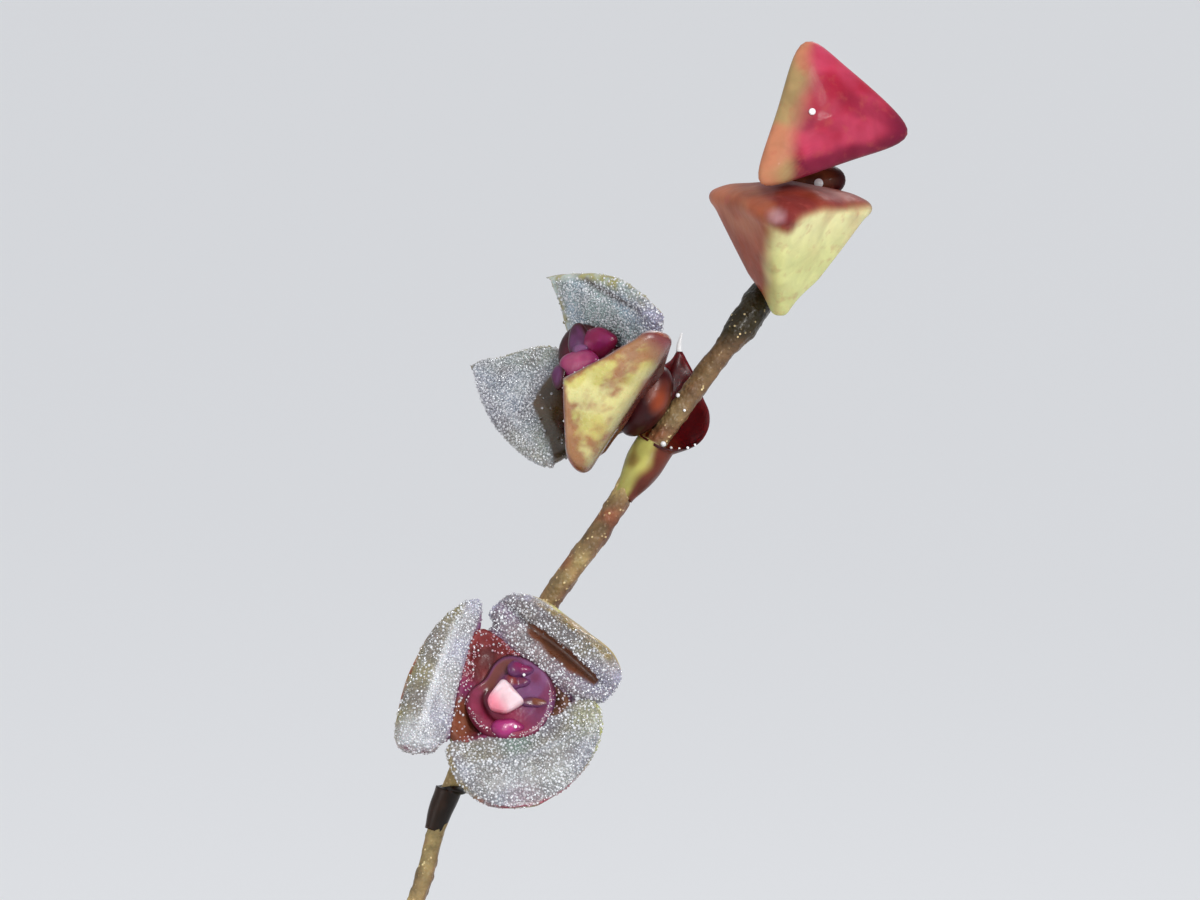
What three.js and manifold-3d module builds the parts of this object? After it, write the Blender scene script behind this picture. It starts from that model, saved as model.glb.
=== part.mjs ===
// A miniature tufted orchid with small three-sided flowers, growing in moss in a slatted wooden basket.
// Millimetres, +Z up. The origin is on the surface that the basket stands on, under its middle floor slat.
// The tallest flower spike faces the front, -Y, and its tip leans to the right, +X.
import * as THREE from "three";
import { mergeVertices } from "three/addons/utils/BufferGeometryUtils.js";
import Module from "manifold-3d";

const wasm = await Module();
wasm.setup();

// Basket: square slats stacked in courses that cross at the corners, on four wire pins.
const SLAT = { side: 8, chamfer: 0.9, length: 88, course: 8.2, spread: 35 };
const COURSES = 6;
const FLOOR_SLATS = [-17.5, 0, 17.5];
const PIN = { radius: 1, hole: 1.5, head: 2.3, headHeight: 1.3, below: 2, sides: 6 };
// Moss: fills the basket, is domed on top, and swells out between the slats.
const MOSS = { half: 30.6, bottom: 8.6, top: 45.6, dome: 4.5, lump: 0.7, pillow: 3.5, cells: 10 };
// Rhizome: creeping branches from the middle, with a shoot at each distance, and roots from their ends.
const RHIZOME = { branches: 3, turn: 105, length: 18, radius: 1.25, clear: 0.7 };
const SHOOT_AT = [3, 7.5, 12, 16.5];
const SHOOT_SWING = [-75, 46, -38, 12];
const SHOOT_TILT = [7, 17, 25, 36];
const STEM_LENGTH = [21, 18, 17, 14];
const LEAF_LENGTH = [37, 34, 35, 30];
const LEAF = { width: 9.4, petiole: 2.2, thick: 1.0, droop: 30, columns: 4, rows: 8 };
const ROOT = { count: 6, radius: 0.55, length: 26 };
// Flower: a three-cornered cup, and three sepals, each folded along a crease from corner to corner.
const FLOWER = { cup: 1.4, throat: 0.38, rim: 0.92, side: 1.82, thick: 0.6 };
const BUD = { height: 2.55, crown: 0.7, inner: 1.2, foot: 0.16 };
// Tall spike: its points are right, away and up from the middle of the view, which leans back by an angle.
const VIEW_MIDDLE = [2.3, -11.8, 134];
const VIEW_LEAN = 12;
const RACHIS_RADIUS = 0.26;
const TALL_SPIKE = [
  [-4.25, 0, -10.4], [-3.75, 0, -8.7], [-3.15, 0, -7.1], [-2.31, 0, -5.54], [-1.15, 0, -3.46],
  [0.0, 0, -1.85], [0.99, 0, -0.28], [2.08, 0, 1.27], [3.12, 0, 2.66], [3.55, 0.22, 3.25], [4.0, 0.75, 4.2],
  [4.2, 1.0, 5.6], [4.25, 1.0, 7.05],
];

const { sin, cos, PI, abs, sqrt, min, max, floor, hypot } = Math;
const rad = (degrees) => (degrees * PI) / 180;
const vec = (x, y, z) => new THREE.Vector3(x, y, z);
const mix = (a, b, share) => a + (b - a) * share;
const smooth = (low, high, x) => THREE.MathUtils.smoothstep(x, low, high);

// Seeded random numbers, the same on each run.
function randomFrom(seed) {
  let state = seed;
  return () => {
    state = (state * 1664525 + 1013904223) % 4294967296;
    return state / 4294967296;
  };
}

// Solids

function solidOf(geometry) {
  const bare = geometry.clone();
  bare.deleteAttribute("normal");
  bare.deleteAttribute("uv");
  const merged = mergeVertices(bare, 1e-4);
  return new wasm.Manifold(
    new wasm.Mesh({
      numProp: 3,
      vertProperties: new Float32Array(merged.attributes.position.array),
      triVerts: new Uint32Array(merged.index.array),
    }),
  );
}

function geometryOf(solid) {
  const mesh = solid.getMesh();
  return new THREE.BufferGeometry()
    .setAttribute("position", new THREE.BufferAttribute(mesh.vertProperties, 3))
    .setIndex(new THREE.BufferAttribute(mesh.triVerts, 1));
}

// Geometries joined in one solid, with any pocket that they close off filled.
function join(geometries) {
  const whole = geometries.map(solidOf).reduce((all, next) => all.add(next));
  const shells = whole.decompose().filter((shell) => shell.volume() > 0);
  return geometryOf(shells.reduce((all, next) => all.add(next)));
}

const cut = (geometry, tools) =>
  geometryOf(tools.map(solidOf).reduce((left, tool) => left.subtract(tool), solidOf(geometry)));

// A closed slab: at(across, along, face) places each point, with across from -1 to 1, along from 0 to 1,
// and face 1 on the upper side and 0 on the lower. Both faces are split into triangles alike.
function slab(columns, rows, at) {
  const points = [];
  const faces = [];
  const stride = rows + 1;
  const layer = (columns + 1) * stride;
  for (const face of [0, 1])
    for (let i = 0; i <= columns; i++)
      for (let j = 0; j <= rows; j++) points.push(...at((2 * i) / columns - 1, j / rows, face).toArray());
  const id = (i, j, face) => face * layer + i * stride + j;
  const quad = (a, b, c, d) => faces.push(a, b, c, a, c, d);
  for (let i = 0; i < columns; i++)
    for (let j = 0; j < rows; j++) {
      quad(id(i, j, 1), id(i + 1, j, 1), id(i + 1, j + 1, 1), id(i, j + 1, 1));
      faces.push(id(i, j, 0), id(i + 1, j + 1, 0), id(i + 1, j, 0));
      faces.push(id(i, j, 0), id(i, j + 1, 0), id(i + 1, j + 1, 0));
    }
  for (let i = 0; i < columns; i++) {
    quad(id(i, 0, 0), id(i + 1, 0, 0), id(i + 1, 0, 1), id(i, 0, 1));
    quad(id(i + 1, rows, 0), id(i, rows, 0), id(i, rows, 1), id(i + 1, rows, 1));
  }
  for (let j = 0; j < rows; j++) {
    quad(id(0, j + 1, 0), id(0, j, 0), id(0, j, 1), id(0, j + 1, 1));
    quad(id(columns, j, 0), id(columns, j + 1, 0), id(columns, j + 1, 1), id(columns, j, 1));
  }
  return new THREE.BufferGeometry()
    .setAttribute("position", new THREE.Float32BufferAttribute(points, 3))
    .setIndex(faces);
}

// A round limb: a cylinder whose rings stand on a curve, with a radius for each share of its length.
function limb(points, rings, sides, radiusAt) {
  const curve = new THREE.CatmullRomCurve3(points, false, "centripetal");
  const { normals, binormals } = curve.computeFrenetFrames(rings, false);
  const rod = new THREE.CylinderGeometry(1, 1, 1, sides, rings);
  const place = rod.attributes.position;
  for (let i = 0; i < place.count; i++) {
    const share = place.getY(i) + 0.5;
    const ring = Math.round(share * rings);
    const radius = radiusAt(share);
    const spot = curve.getPointAt(share);
    spot.addScaledVector(normals[ring], place.getX(i) * radius);
    spot.addScaledVector(binormals[ring], -place.getZ(i) * radius);
    place.setXYZ(i, spot.x, spot.y, spot.z);
  }
  return rod;
}

// A lump: a sphere stretched to three half sizes, turned so that its long axis, Z, lies along a direction.
function lump(centre, halves, direction, across = 8, rows = 6) {
  const turn = new THREE.Quaternion().setFromUnitVectors(vec(0, 0, 1), direction.clone().normalize());
  return new THREE.SphereGeometry(1, across, rows)
    .rotateX(PI / 2)
    .scale(...halves)
    .applyQuaternion(turn)
    .translate(...centre.toArray());
}

// The matrix that stands a flower's own frame at a place: Z along its axis, X towards its first sepal.
function standing(place, axis, firstSepal) {
  const z = axis.clone().normalize();
  const x = firstSepal.clone().addScaledVector(z, -firstSepal.dot(z)).normalize();
  const y = z.clone().cross(x);
  return new THREE.Matrix4().makeBasis(x, y, z).setPosition(place);
}

// Basket

function slatGeometry(holes) {
  const half = SLAT.side / 2;
  const edge = half - SLAT.chamfer;
  const corners = [
    [-edge, -half], [edge, -half], [half, -edge], [half, edge],
    [edge, half], [-edge, half], [-half, edge], [-half, -edge],
  ];
  const section = new THREE.Shape(corners.map(([x, y]) => new THREE.Vector2(x, y)));
  const bar = new THREE.ExtrudeGeometry(section, { depth: SLAT.length, bevelEnabled: false, steps: 1 })
    .translate(0, 0, -SLAT.length / 2)
    .rotateY(PI / 2);
  const drill = (x) =>
    new THREE.CylinderGeometry(PIN.hole, PIN.hole, SLAT.side * 2, PIN.sides)
      .rotateX(PI / 2)
      .translate(x, 0, 0);
  return holes ? cut(bar, [drill(-SLAT.spread), drill(SLAT.spread)]) : bar;
}

function pinGeometry() {
  const top = COURSES * SLAT.course + 0.15;
  const outline = [
    [0, PIN.below], [PIN.radius, PIN.below], [PIN.radius, top], [PIN.head, top],
    [PIN.head * 0.86, top + PIN.headHeight * 0.6], [PIN.head * 0.45, top + PIN.headHeight],
    [0, top + PIN.headHeight],
  ].map(([r, z]) => new THREE.Vector2(r, z));
  return new THREE.LatheGeometry(outline, PIN.sides).rotateX(PI / 2);
}

// Moss

const mossCell = (2 * MOSS.half) / MOSS.cells;

// Height of the moss at a corner of its grid of cells, from a low dome and three crossed waves.
function mossCorner(i, j) {
  const x = i * mossCell - MOSS.half;
  const y = j * mossCell - MOSS.half;
  const slow = sin(x * 0.42 + 1.1) * cos(y * 0.37) + sin(x * 0.23 - y * 0.31 + 0.6);
  const waves = slow + cos(x * 0.61 + y * 0.53);
  const dome = 1 - (x * x + y * y) / (2 * MOSS.half * MOSS.half);
  return MOSS.top + MOSS.dome * dome + (MOSS.lump * waves) / 1.5;
}

// Height of the moss anywhere, level between the corners of its cell.
function mossHeight(x, y) {
  const i = floor((x + MOSS.half) / mossCell + 1e-6);
  const j = floor((y + MOSS.half) / mossCell + 1e-6);
  const across = (x + MOSS.half) / mossCell - i;
  const along = (y + MOSS.half) / mossCell - j;
  const near = mix(mossCorner(i, j), mossCorner(i + 1, j), across);
  const far = mix(mossCorner(i, j + 1), mossCorner(i + 1, j + 1), across);
  return mix(near, far, along);
}

function mossGeometry() {
  const depth = MOSS.top - MOSS.bottom;
  const block = new THREE.BoxGeometry(2 * MOSS.half, 2 * MOSS.half, depth, MOSS.cells, MOSS.cells, 1)
    .translate(0, 0, MOSS.bottom + depth / 2);
  const place = block.attributes.position;
  for (let i = 0; i < place.count; i++) {
    if (place.getZ(i) > MOSS.top - 1) place.setZ(i, mossHeight(place.getX(i), place.getY(i)));
  }
  const random = randomFrom(7);
  const pillows = [];
  for (let course = 1; course < COURSES - 1; course++)
    for (const side of [-1, 1]) {
      // The gap in a course lies between the slats of the other direction above and below it.
      const z = (course + 0.5) * SLAT.course;
      const out = MOSS.half - 0.6;
      const stops = [-27, -18, -9, 0, 9, 18, 27].map((run) => {
        const drift = side * (out + random() * 1.2);
        return course % 2 ? vec(run, drift, z + random() - 0.5) : vec(drift, run, z + random() - 0.5);
      });
      const swell = stops.map(() => MOSS.pillow * (0.85 + 0.15 * random()));
      pillows.push(limb(stops, 8, 6, (share) => swell[Math.round(share * 6)] * (share % 1 ? 1 : 0.6)));
    }
  return join([block, ...pillows]);
}

// Plant

const surfacePoint = (x, y, radius) => vec(x, y, mossHeight(x, y) + radius + RHIZOME.clear);

function branchHeading(branch) {
  return rad(RHIZOME.turn + (360 / RHIZOME.branches) * branch);
}

// Where a branch of the rhizome runs, at a distance from the middle; it wanders a little to the side.
function branchPoint(branch, distance) {
  const heading = branchHeading(branch);
  const side = 1.1 * sin(distance * 0.55 + branch * 2);
  return surfacePoint(
    distance * cos(heading) - side * sin(heading),
    distance * sin(heading) + side * cos(heading),
    RHIZOME.radius,
  );
}

// A root creeps over the moss from the crown, in a slow bend, until it nears the edge of the basket.
function rootGeometry(index, random) {
  const heading = (index / ROOT.count) * 2 * PI + random() * 0.5;
  const bend = (random() - 0.5) * 0.06;
  const stops = [0, 1, 2, 3, 4, 5].map((step) => {
    const run = (step / 5) * ROOT.length;
    const way = heading + bend * run;
    return surfacePoint(run * cos(way), run * sin(way), ROOT.radius);
  });
  return limb(stops, 7, 5, (share) => ROOT.radius * (share > 0.9 ? 0.7 : 1));
}

function rhizomeGeometry() {
  const random = randomFrom(21);
  const pieces = [];
  for (let branch = 0; branch < RHIZOME.branches; branch++) {
    const stops = [0, 0.25, 0.5, 0.75, 1].map((share) => branchPoint(branch, share * RHIZOME.length));
    pieces.push(limb(stops, 10, 6, (share) => RHIZOME.radius * (0.88 + 0.12 * cos(share * 31))));
  }
  const roots = Array.from({ length: ROOT.count }, (unused, index) => rootGeometry(index, random));
  return join([...pieces, ...roots]);
}

// The line of each leafy shoot: a straight stem, then the leaf's midrib, which arches outwards.
function shootPlan(branch, place) {
  const distance = SHOOT_AT[place];
  const heading = branchHeading(branch) + rad(SHOOT_SWING[place] + 6 * sin(branch * 5 + place));
  const outward = vec(cos(heading), sin(heading), 0);
  const tilt = rad(SHOOT_TILT[place] + 3 * sin(branch * 3 + place * 2));
  const grow = 1 + 0.07 * sin(branch * 4 + place * 1.7);
  const base = branchPoint(branch, distance).add(vec(0, 0, RHIZOME.radius + 0.35 + 1.15 * sin(tilt)));
  const along = outward.clone().multiplyScalar(sin(tilt)).add(vec(0, 0, cos(tilt)));
  const joint = base.clone().addScaledVector(along, STEM_LENGTH[place] * grow);
  return { base, joint, outward, tilt, along, leafLength: LEAF_LENGTH[place] * grow };
}

// The midrib bends outwards by LEAF.droop from the leaf's foot to its tip.
function midribAt(plan, share) {
  const steps = 12;
  const point = plan.joint.clone();
  let lean = plan.tilt;
  for (let step = 0; step < steps; step++) {
    lean = plan.tilt + rad(LEAF.droop) * ((step + 0.5) / steps) ** 1.5 * share;
    point.addScaledVector(plan.outward, (sin(lean) * plan.leafLength * share) / steps);
    point.z += (cos(lean) * plan.leafLength * share) / steps;
  }
  const along = plan.outward.clone().multiplyScalar(sin(lean)).add(vec(0, 0, cos(lean)));
  const upper = plan.outward.clone().multiplyScalar(-cos(lean)).add(vec(0, 0, sin(lean)));
  return { point, along, upper };
}

// A thick leaf, narrow and channelled at its foot, widest past its middle, with a blunt tip.
function leafGeometry(plan) {
  const side = plan.outward.clone().cross(vec(0, 0, 1));
  return slab(LEAF.columns, LEAF.rows, (across, along, face) => {
    const { point, upper } = midribAt(plan, along);
    const belly = sin(PI * smooth(0, 1, along * 0.62 + 0.06)) ** 1.1;
    const tip = sqrt(max(0, 1 - smooth(0.72, 1.02, along) ** 2));
    const half = mix(LEAF.petiole / 2, LEAF.width / 2, belly * smooth(0.02, 0.45, along)) * max(tip, 0.22);
    const fold = rad(mix(48, 10, smooth(0, 0.45, along)));
    const thick = LEAF.thick * mix(1, 0.65, abs(across) ** 2);
    return point
      .addScaledVector(side, across * half * cos(fold))
      .addScaledVector(upper, abs(across) * half * sin(fold) + (face - 0.5) * thick);
  });
}

// A leafy shoot: a slender stem in swollen sheaths, with its one leaf.
function shootGeometry(plan) {
  const rise = plan.joint.clone().sub(plan.base);
  const stops = [0, 0.33, 0.66, 1].map((share) => plan.base.clone().addScaledVector(rise, share));
  stops[3].addScaledVector(plan.along, 0.8);
  const sheath = (share) => (share < 0.4 ? 1.15 - share : share < 0.75 ? 1.1 - 0.5 * share : 0.72);
  return join([limb(stops, 6, 5, sheath), leafGeometry(plan)]);
}

// Flowers

// The inner line of a sepal from the cup's floor to its tip, as distance from the axis and height.
// base and tip are the angles above the flower's plane of the two sides of the crease.
function sepalLine({ base, tip, toCrease, toTip }, share) {
  const { cup, throat, rim } = FLOWER;
  const wall = Math.atan2(cup, rim - throat);
  const wallLength = hypot(cup, rim - throat);
  const total = wallLength + toCrease + toTip;
  const steps = 24;
  let r = throat;
  let z = 0;
  let lean = wall;
  for (let step = 0; step < steps; step++) {
    const run = ((step + 0.5) / steps) * share * total;
    lean = mix(wall, rad(base), smooth(wallLength - 0.3, wallLength + 0.3, run));
    lean = mix(lean, rad(tip), smooth(wallLength + toCrease - 0.25, wallLength + toCrease + 0.25, run));
    r += (cos(lean) * share * total) / steps;
    z += (sin(lean) * share * total) / steps;
  }
  return { r, z, lean, wallLength, free: share * total - wallLength };
}

// Half the sepal's width: the cup's triangular side, then widening to the crease and closing beyond it.
// A blunt sepal closes as an oval does, and a sharp one has pointed corners at the ends of its crease.
function sepalHalfWidth({ toCrease, toTip, half, sharp }, free, r) {
  const open = mix(FLOWER.rim * FLOWER.side, half, smooth(0, 1, free / toCrease));
  const beyond = min(1, max(0, (free - toCrease) / toTip));
  const close = (1 - beyond ** (sharp ? 1.15 : 2)) ** (sharp ? 0.85 : 0.5);
  return free < 0 ? r * FLOWER.side : open * max(0.16, close);
}

// Shares of a sepal's length where its rows stand, closest at the cup's rim and at the crease.
const SEPAL_ROWS = [0, 0.2, 0.38, 0.48, 0.58, 0.68, 0.78, 0.9, 1];

// One sepal in the flower's frame. turn is where it stands round the axis, yaw swings its free part round
// the middle of its own rim, slide moves that part along the rim, and curl lifts its two ends.
function sepalGeometry(sepal) {
  const { turn, curl, slide } = sepal;
  const swing = rad(sepal.yaw);
  const away = vec(cos(rad(turn)), sin(rad(turn)), 0);
  const side = vec(sin(rad(turn)), -cos(rad(turn)), 0);
  const rows = SEPAL_ROWS.length - 1;
  return slab(6, rows, (across, along, face) => {
    const { r, z, lean, wallLength, free } = sepalLine(sepal, SEPAL_ROWS[Math.round(along * rows)]);
    const half = sepalHalfWidth(sepal, free, r);
    const depth = (1 - face) * mix(0.32, FLOWER.thick, smooth(-wallLength, 0, free));
    const inward = vec(0, 0, cos(lean)).addScaledVector(away, -sin(lean));
    const yaw = swing * smooth(-0.1, 0.7, free);
    const out = r - FLOWER.rim;
    const loose = smooth(-0.1, 0.5, free);
    return vec(0, 0, z + loose * curl * across * across)
      .addScaledVector(away, FLOWER.rim + out * cos(yaw) - across * half * sin(yaw))
      .addScaledVector(side, across * half * cos(yaw) + out * sin(yaw) + loose * slide)
      .addScaledVector(inward, -depth);
  });
}

function sepalsGeometry(sepals) {
  const floor = lump(vec(0, 0, -0.05), [0.5, 0.5, 0.3], vec(0, 0, 1), 6, 3);
  return join([floor, ...sepals.map(sepalGeometry)]);
}

// What fills the cup: a fleshy disc, the column with its cap, and the two petals and the lip round it.
const CENTRE_LUMPS = [
  { at: [0.05, -0.06, 0.82], halves: [0.38, 0.38, 0.55] },
  { at: [0.1, -0.16, 1.34], halves: [0.84, 0.84, 0.24] },
  { at: [-0.06, -0.36, 1.62], halves: [0.4, 0.33, 0.3] },
  { at: [0.52, -0.1, 1.52], halves: [0.25, 0.25, 0.22] },
  { at: [-0.36, -0.72, 1.46], halves: [0.26, 0.32, 0.2] },
  { at: [0.0, 0.36, 1.48], halves: [0.3, 0.24, 0.2] },
];

function centreGeometry() {
  return join(CENTRE_LUMPS.map(({ at, halves }) => lump(vec(...at), halves, vec(0, 0, 1), 7, 5)));
}

// A closed bud: three-cornered, narrow at its foot and widest at the crease, with a low crown.
function budGeometry(size, sides, rings) {
  const rod = new THREE.CylinderGeometry(1, 1, 1, sides, rings).rotateX(PI / 2);
  const place = rod.attributes.position;
  for (let i = 0; i < place.count; i++) {
    const share = place.getZ(i) + 0.5;
    const turn = Math.atan2(place.getY(i), place.getX(i));
    const fromCorner = abs(((turn + (7 * PI) / 3) % ((2 * PI) / 3)) - PI / 3);
    const rise = min(1, share / 0.75);
    const crown = max(0, (share - 0.75) / 0.25);
    const inner = crown ? BUD.inner * (1 - 0.92 * crown ** 1.3) : mix(BUD.foot, BUD.inner, rise ** 0.92);
    const corner = (1 / cos(PI / 3 - fromCorner)) ** mix(0.4, 0.88, smooth(0, 0.3, rise));
    const reach = place.getX(i) || place.getY(i) ? inner * corner * size : 0;
    const z = (BUD.height * rise + BUD.crown * sin(crown * 1.5)) * size;
    place.setXYZ(i, reach * cos(turn), reach * sin(turn), z);
  }
  return rod;
}

// Spikes

// Blooms and buds stand on alternate sides of a spike. Each has its place on the spike, its way of facing,
// the point where its ovary leaves the stem, and the middle of its cup.
function setOut(curve, share, side, lean) {
  const point = curve.getPointAt(share);
  const along = curve.getTangentAt(share);
  const flank = along.clone().cross(lean).normalize().multiplyScalar(side);
  const axis = flank.multiplyScalar(0.85).addScaledVector(lean, 0.35).addScaledVector(along, 0.45);
  return { point, along, axis: axis.normalize() };
}

function ovaryGeometry(from, to) {
  return limb([from, from.clone().lerp(to, 0.5), to], 3, 8, (share) => mix(0.2, 0.36, share));
}

// Foot, outer rim, lower edge, upper edge, inner rim and floor of a small open flower: its radius between
// two sepals, how much further a sepal reaches, and its height. Its column is a cone on the floor.
const BLOOM_RINGS = [
  [0.2, 0, -1.05], [0.32, 0, -0.1], [1, 0.15, 1.05], [1.1, 1.6, 1.3],
  [1.1, 1.5, 1.9], [0.78, 0.1, 1.5], [0.5, 0, 0.75],
];
const BLOOM_COLUMN = 1.75;

// An open flower of a low spike, with its ovary, as one three-lobed bowl.
function bloomGeometry() {
  const last = BLOOM_RINGS.length - 1;
  const rod = new THREE.CylinderGeometry(1, 1, 1, 12, last).rotateX(PI / 2);
  const place = rod.attributes.position;
  for (let i = 0; i < place.count; i++) {
    const share = place.getZ(i) + 0.5;
    const [inner, reach, z] = BLOOM_RINGS[Math.round(share * last)];
    const turn = Math.atan2(place.getY(i), place.getX(i));
    const out = hypot(place.getX(i), place.getY(i));
    const r = out * (inner + reach * (0.5 + 0.5 * cos(3 * turn)));
    place.setXYZ(i, r * cos(turn), r * sin(turn), out < 0.5 && share > 0.5 ? BLOOM_COLUMN : z);
  }
  return rod;
}

// A whole spike as one piece: its stem, then blooms low on it and buds towards its tip.
function spikeGeometry({ stops, lean, blooms, buds }) {
  const curve = new THREE.CatmullRomCurve3(stops, false, "centripetal");
  const pieces = [limb(stops, 14, 5, (share) => mix(0.5, RACHIS_RADIUS, smooth(0, 0.6, share)))];
  const last = blooms + buds;
  for (let index = 0; index < last; index++) {
    const { point, along, axis } = setOut(curve, mix(0.5, 0.985, index / last), index % 2 ? -1 : 1, lean);
    const bud = index >= blooms;
    const stand = standing(point.clone().addScaledVector(axis, bud ? 0.1 : 1.15), axis, along);
    const size = mix(0.9, 0.55, (index - blooms) / buds);
    pieces.push((bud ? budGeometry(size, 6, 4) : bloomGeometry()).applyMatrix4(stand));
  }
  return join(pieces);
}

// Where a spike leaves its shoot: in the channel at the leaf's foot, just clear of the stem.
function spikeFoot(plan) {
  const { upper } = midribAt(plan, 0.02);
  return plan.joint.clone().addScaledVector(plan.along, 0.9).addScaledVector(upper, 1.56);
}

// A lower spike: it rises from its shoot and arches outwards.
function arch(plan, height, reach, swing) {
  const foot = spikeFoot(plan);
  const heading = plan.outward.clone().applyAxisAngle(vec(0, 0, 1), rad(swing));
  const stops = [0, 0.2, 0.4, 0.6, 0.8, 1].map((share) =>
    foot.clone().addScaledVector(heading, reach * share ** 1.7).add(vec(0, 0, height * share)),
  );
  return { stops, lean: heading };
}

// The tall spike, in the view's own frame.

const view = new THREE.Matrix4().makeRotationX(-rad(VIEW_LEAN)).setPosition(...VIEW_MIDDLE);
const fromWorld = view.clone().invert();
const tallShoot = shootPlan(1, 2);

function tallStops() {
  const foot = spikeFoot(tallShoot).applyMatrix4(fromWorld);
  const first = vec(...TALL_SPIKE[0]);
  const rise = foot.clone().add(vec(-0.6, 0, 14));
  const middle = rise.clone().lerp(first, 0.55).add(vec(-1.6, 0, 0));
  return [foot, rise, middle, ...TALL_SPIKE.map((point) => vec(...point))];
}

// The two open flowers: rim is the middle of the cup's rim, and from is where the ovary leaves the stem.
// Each sepal's crease and tip are at a distance from the rim, and it bends at both by its angles.
const FLOWERS = [
  {
    name: "flower_front",
    rim: vec(-2.25, -2.2, -5.5),
    axis: vec(0.03, -0.92, 0.39),
    firstSepal: vec(0.66, 0, 0.8),
    from: vec(-2.78, -0.64, -6.42),
    sepals: [
      {
        turn: 0, base: 10, tip: 66, yaw: 4, slide: 0.22,
        curl: 0.05, toCrease: 0.4, toTip: 0.78, half: 1.76, sharp: false,
      },
      {
        turn: 119, base: 10, tip: -42, yaw: 10, slide: 0,
        curl: -0.05, toCrease: 0.72, toTip: 0.82, half: 1.88, sharp: false,
      },
      {
        turn: 241, base: 2, tip: -12, yaw: 0, slide: 0,
        curl: 0.1, toCrease: 0.7, toTip: 0.98, half: 1.85, sharp: false,
      },
    ],
  },
  {
    name: "flower_side",
    rim: vec(-0.08, -0.2, 1.55),
    axis: vec(-0.62, -0.67, 0.39),
    firstSepal: vec(0.3, 0.26, 0.92),
    from: vec(1.2, 1.25, 0.55),
    sepals: [
      {
        turn: -4, base: 48, tip: 30, yaw: 9, slide: 0,
        curl: 0.05, toCrease: 1.15, toTip: 0.8, half: 1.9, sharp: true,
      },
      {
        turn: 117, base: 43, tip: -17, yaw: -30, slide: 0,
        curl: 0.05, toCrease: 1.4, toTip: 0.85, half: 1.98, sharp: true,
      },
      {
        turn: 244, base: 45, tip: 132, yaw: -10, slide: 0,
        curl: 0, toCrease: 1.07, toTip: 1.2, half: 1.84, sharp: true,
      },
    ],
  },
];

// The two buds at its tip: foot is the bottom of the bud, and corner points to one of its three corners.
const BUDS = [
  {
    name: "bud_lower",
    foot: vec(4.04, -0.42, 3.1),
    axis: vec(0.1, -0.11, 0.99),
    corner: vec(-0.2, -1, 0),
    size: 1,
  },
  {
    name: "bud_upper",
    foot: vec(4.26, 0.55, 7.15),
    axis: vec(0.31, -0.94, 0.12),
    corner: vec(1, 0.3, -0.2),
    size: 0.91,
  },
];

// Bracts that sheathe the stem, each a limb through points with their radii.
const BRACTS = [
  [[-3.75, 0, -9.0, 0.28], [-3.5, 0, -8.4, 0.36], [-3.25, 0.05, -7.8, 0.3], [-3.05, 0.1, -7.3, 0.1]],
  [[-2.95, 0.05, -7.0, 0.28], [-2.6, 0.2, -6.3, 0.42], [-2.4, 0.3, -5.8, 0.3], [-2.3, 0.35, -5.3, 0.08]],
  [
    [0.5, 0.05, -1.05, 0.27], [1.3, 0.3, -0.1, 0.4], [1.9, 0.7, 0.85, 0.56],
    [1.97, 0.75, 1.8, 0.3], [1.89, 0.75, 2.7, 0.06],
  ],
];

function tallStemGeometry() {
  const stem = limb(tallStops(), 34, 7, (share) => mix(0.5, RACHIS_RADIUS, smooth(0, 0.7, share)));
  const bracts = BRACTS.map((stops) => {
    const last = stops.length - 1;
    const radiusAt = (share) => {
      const stop = min(last - 1, floor(share * last));
      return mix(stops[stop][3], stops[stop + 1][3], share * last - stop);
    };
    return limb(stops.map(([x, y, z]) => vec(x, y, z)), 2 * last, 7, radiusAt);
  });
  return join([stem, ...bracts]);
}

// Assembly

const COLOURS = {
  wood: 0xb98a58, wire: 0x8d8f92, moss: 0x8f9a4c, root: 0x8a7a5c, leaf: 0x4f7a35,
  stem: 0x8c775c, sepal: 0xa9aaae, centre: 0x8a3f66, budRed: 0xb4485e, budYellow: 0xcfc98c,
};

const part = new THREE.Group();

function add(name, geometry, colour, roughness = 0.6, metalness = 0, group = part) {
  const finish = new THREE.MeshStandardMaterial({ color: colour, roughness, metalness });
  const mesh = new THREE.Mesh(geometry, finish);
  mesh.name = name;
  group.add(mesh);
  return mesh;
}

for (let course = 0; course < COURSES; course++)
  for (const side of [-1, 1]) {
    const slat = add(`slat_${course + 1}_${side < 0 ? "a" : "b"}`, slatGeometry(true), COLOURS.wood, 0.75);
    const z = course * SLAT.course + SLAT.side / 2;
    if (course % 2) {
      slat.position.set(side * SLAT.spread, 0, z);
      slat.rotation.z = PI / 2;
    } else slat.position.set(0, side * SLAT.spread, z);
  }
FLOOR_SLATS.forEach((y, index) =>
  add(`floor_slat_${index + 1}`, slatGeometry(false), COLOURS.wood, 0.75).position.set(0, y, SLAT.side / 2),
);
for (const [index, [x, y]] of [[-1, -1], [1, -1], [1, 1], [-1, 1]].entries()) {
  const pin = add(`pin_${index + 1}`, pinGeometry(), COLOURS.wire, 0.4, 0.9);
  pin.position.set(x * SLAT.spread, y * SLAT.spread, 0);
}

add("moss", mossGeometry(), COLOURS.moss, 0.95);
add("rhizome", rhizomeGeometry(), COLOURS.root, 0.8);
for (let branch = 0; branch < RHIZOME.branches; branch++)
  SHOOT_AT.forEach((distance, place) =>
    add(`shoot_${branch + 1}_${place + 1}`, shootGeometry(shootPlan(branch, place)), COLOURS.leaf, 0.45),
  );

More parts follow.
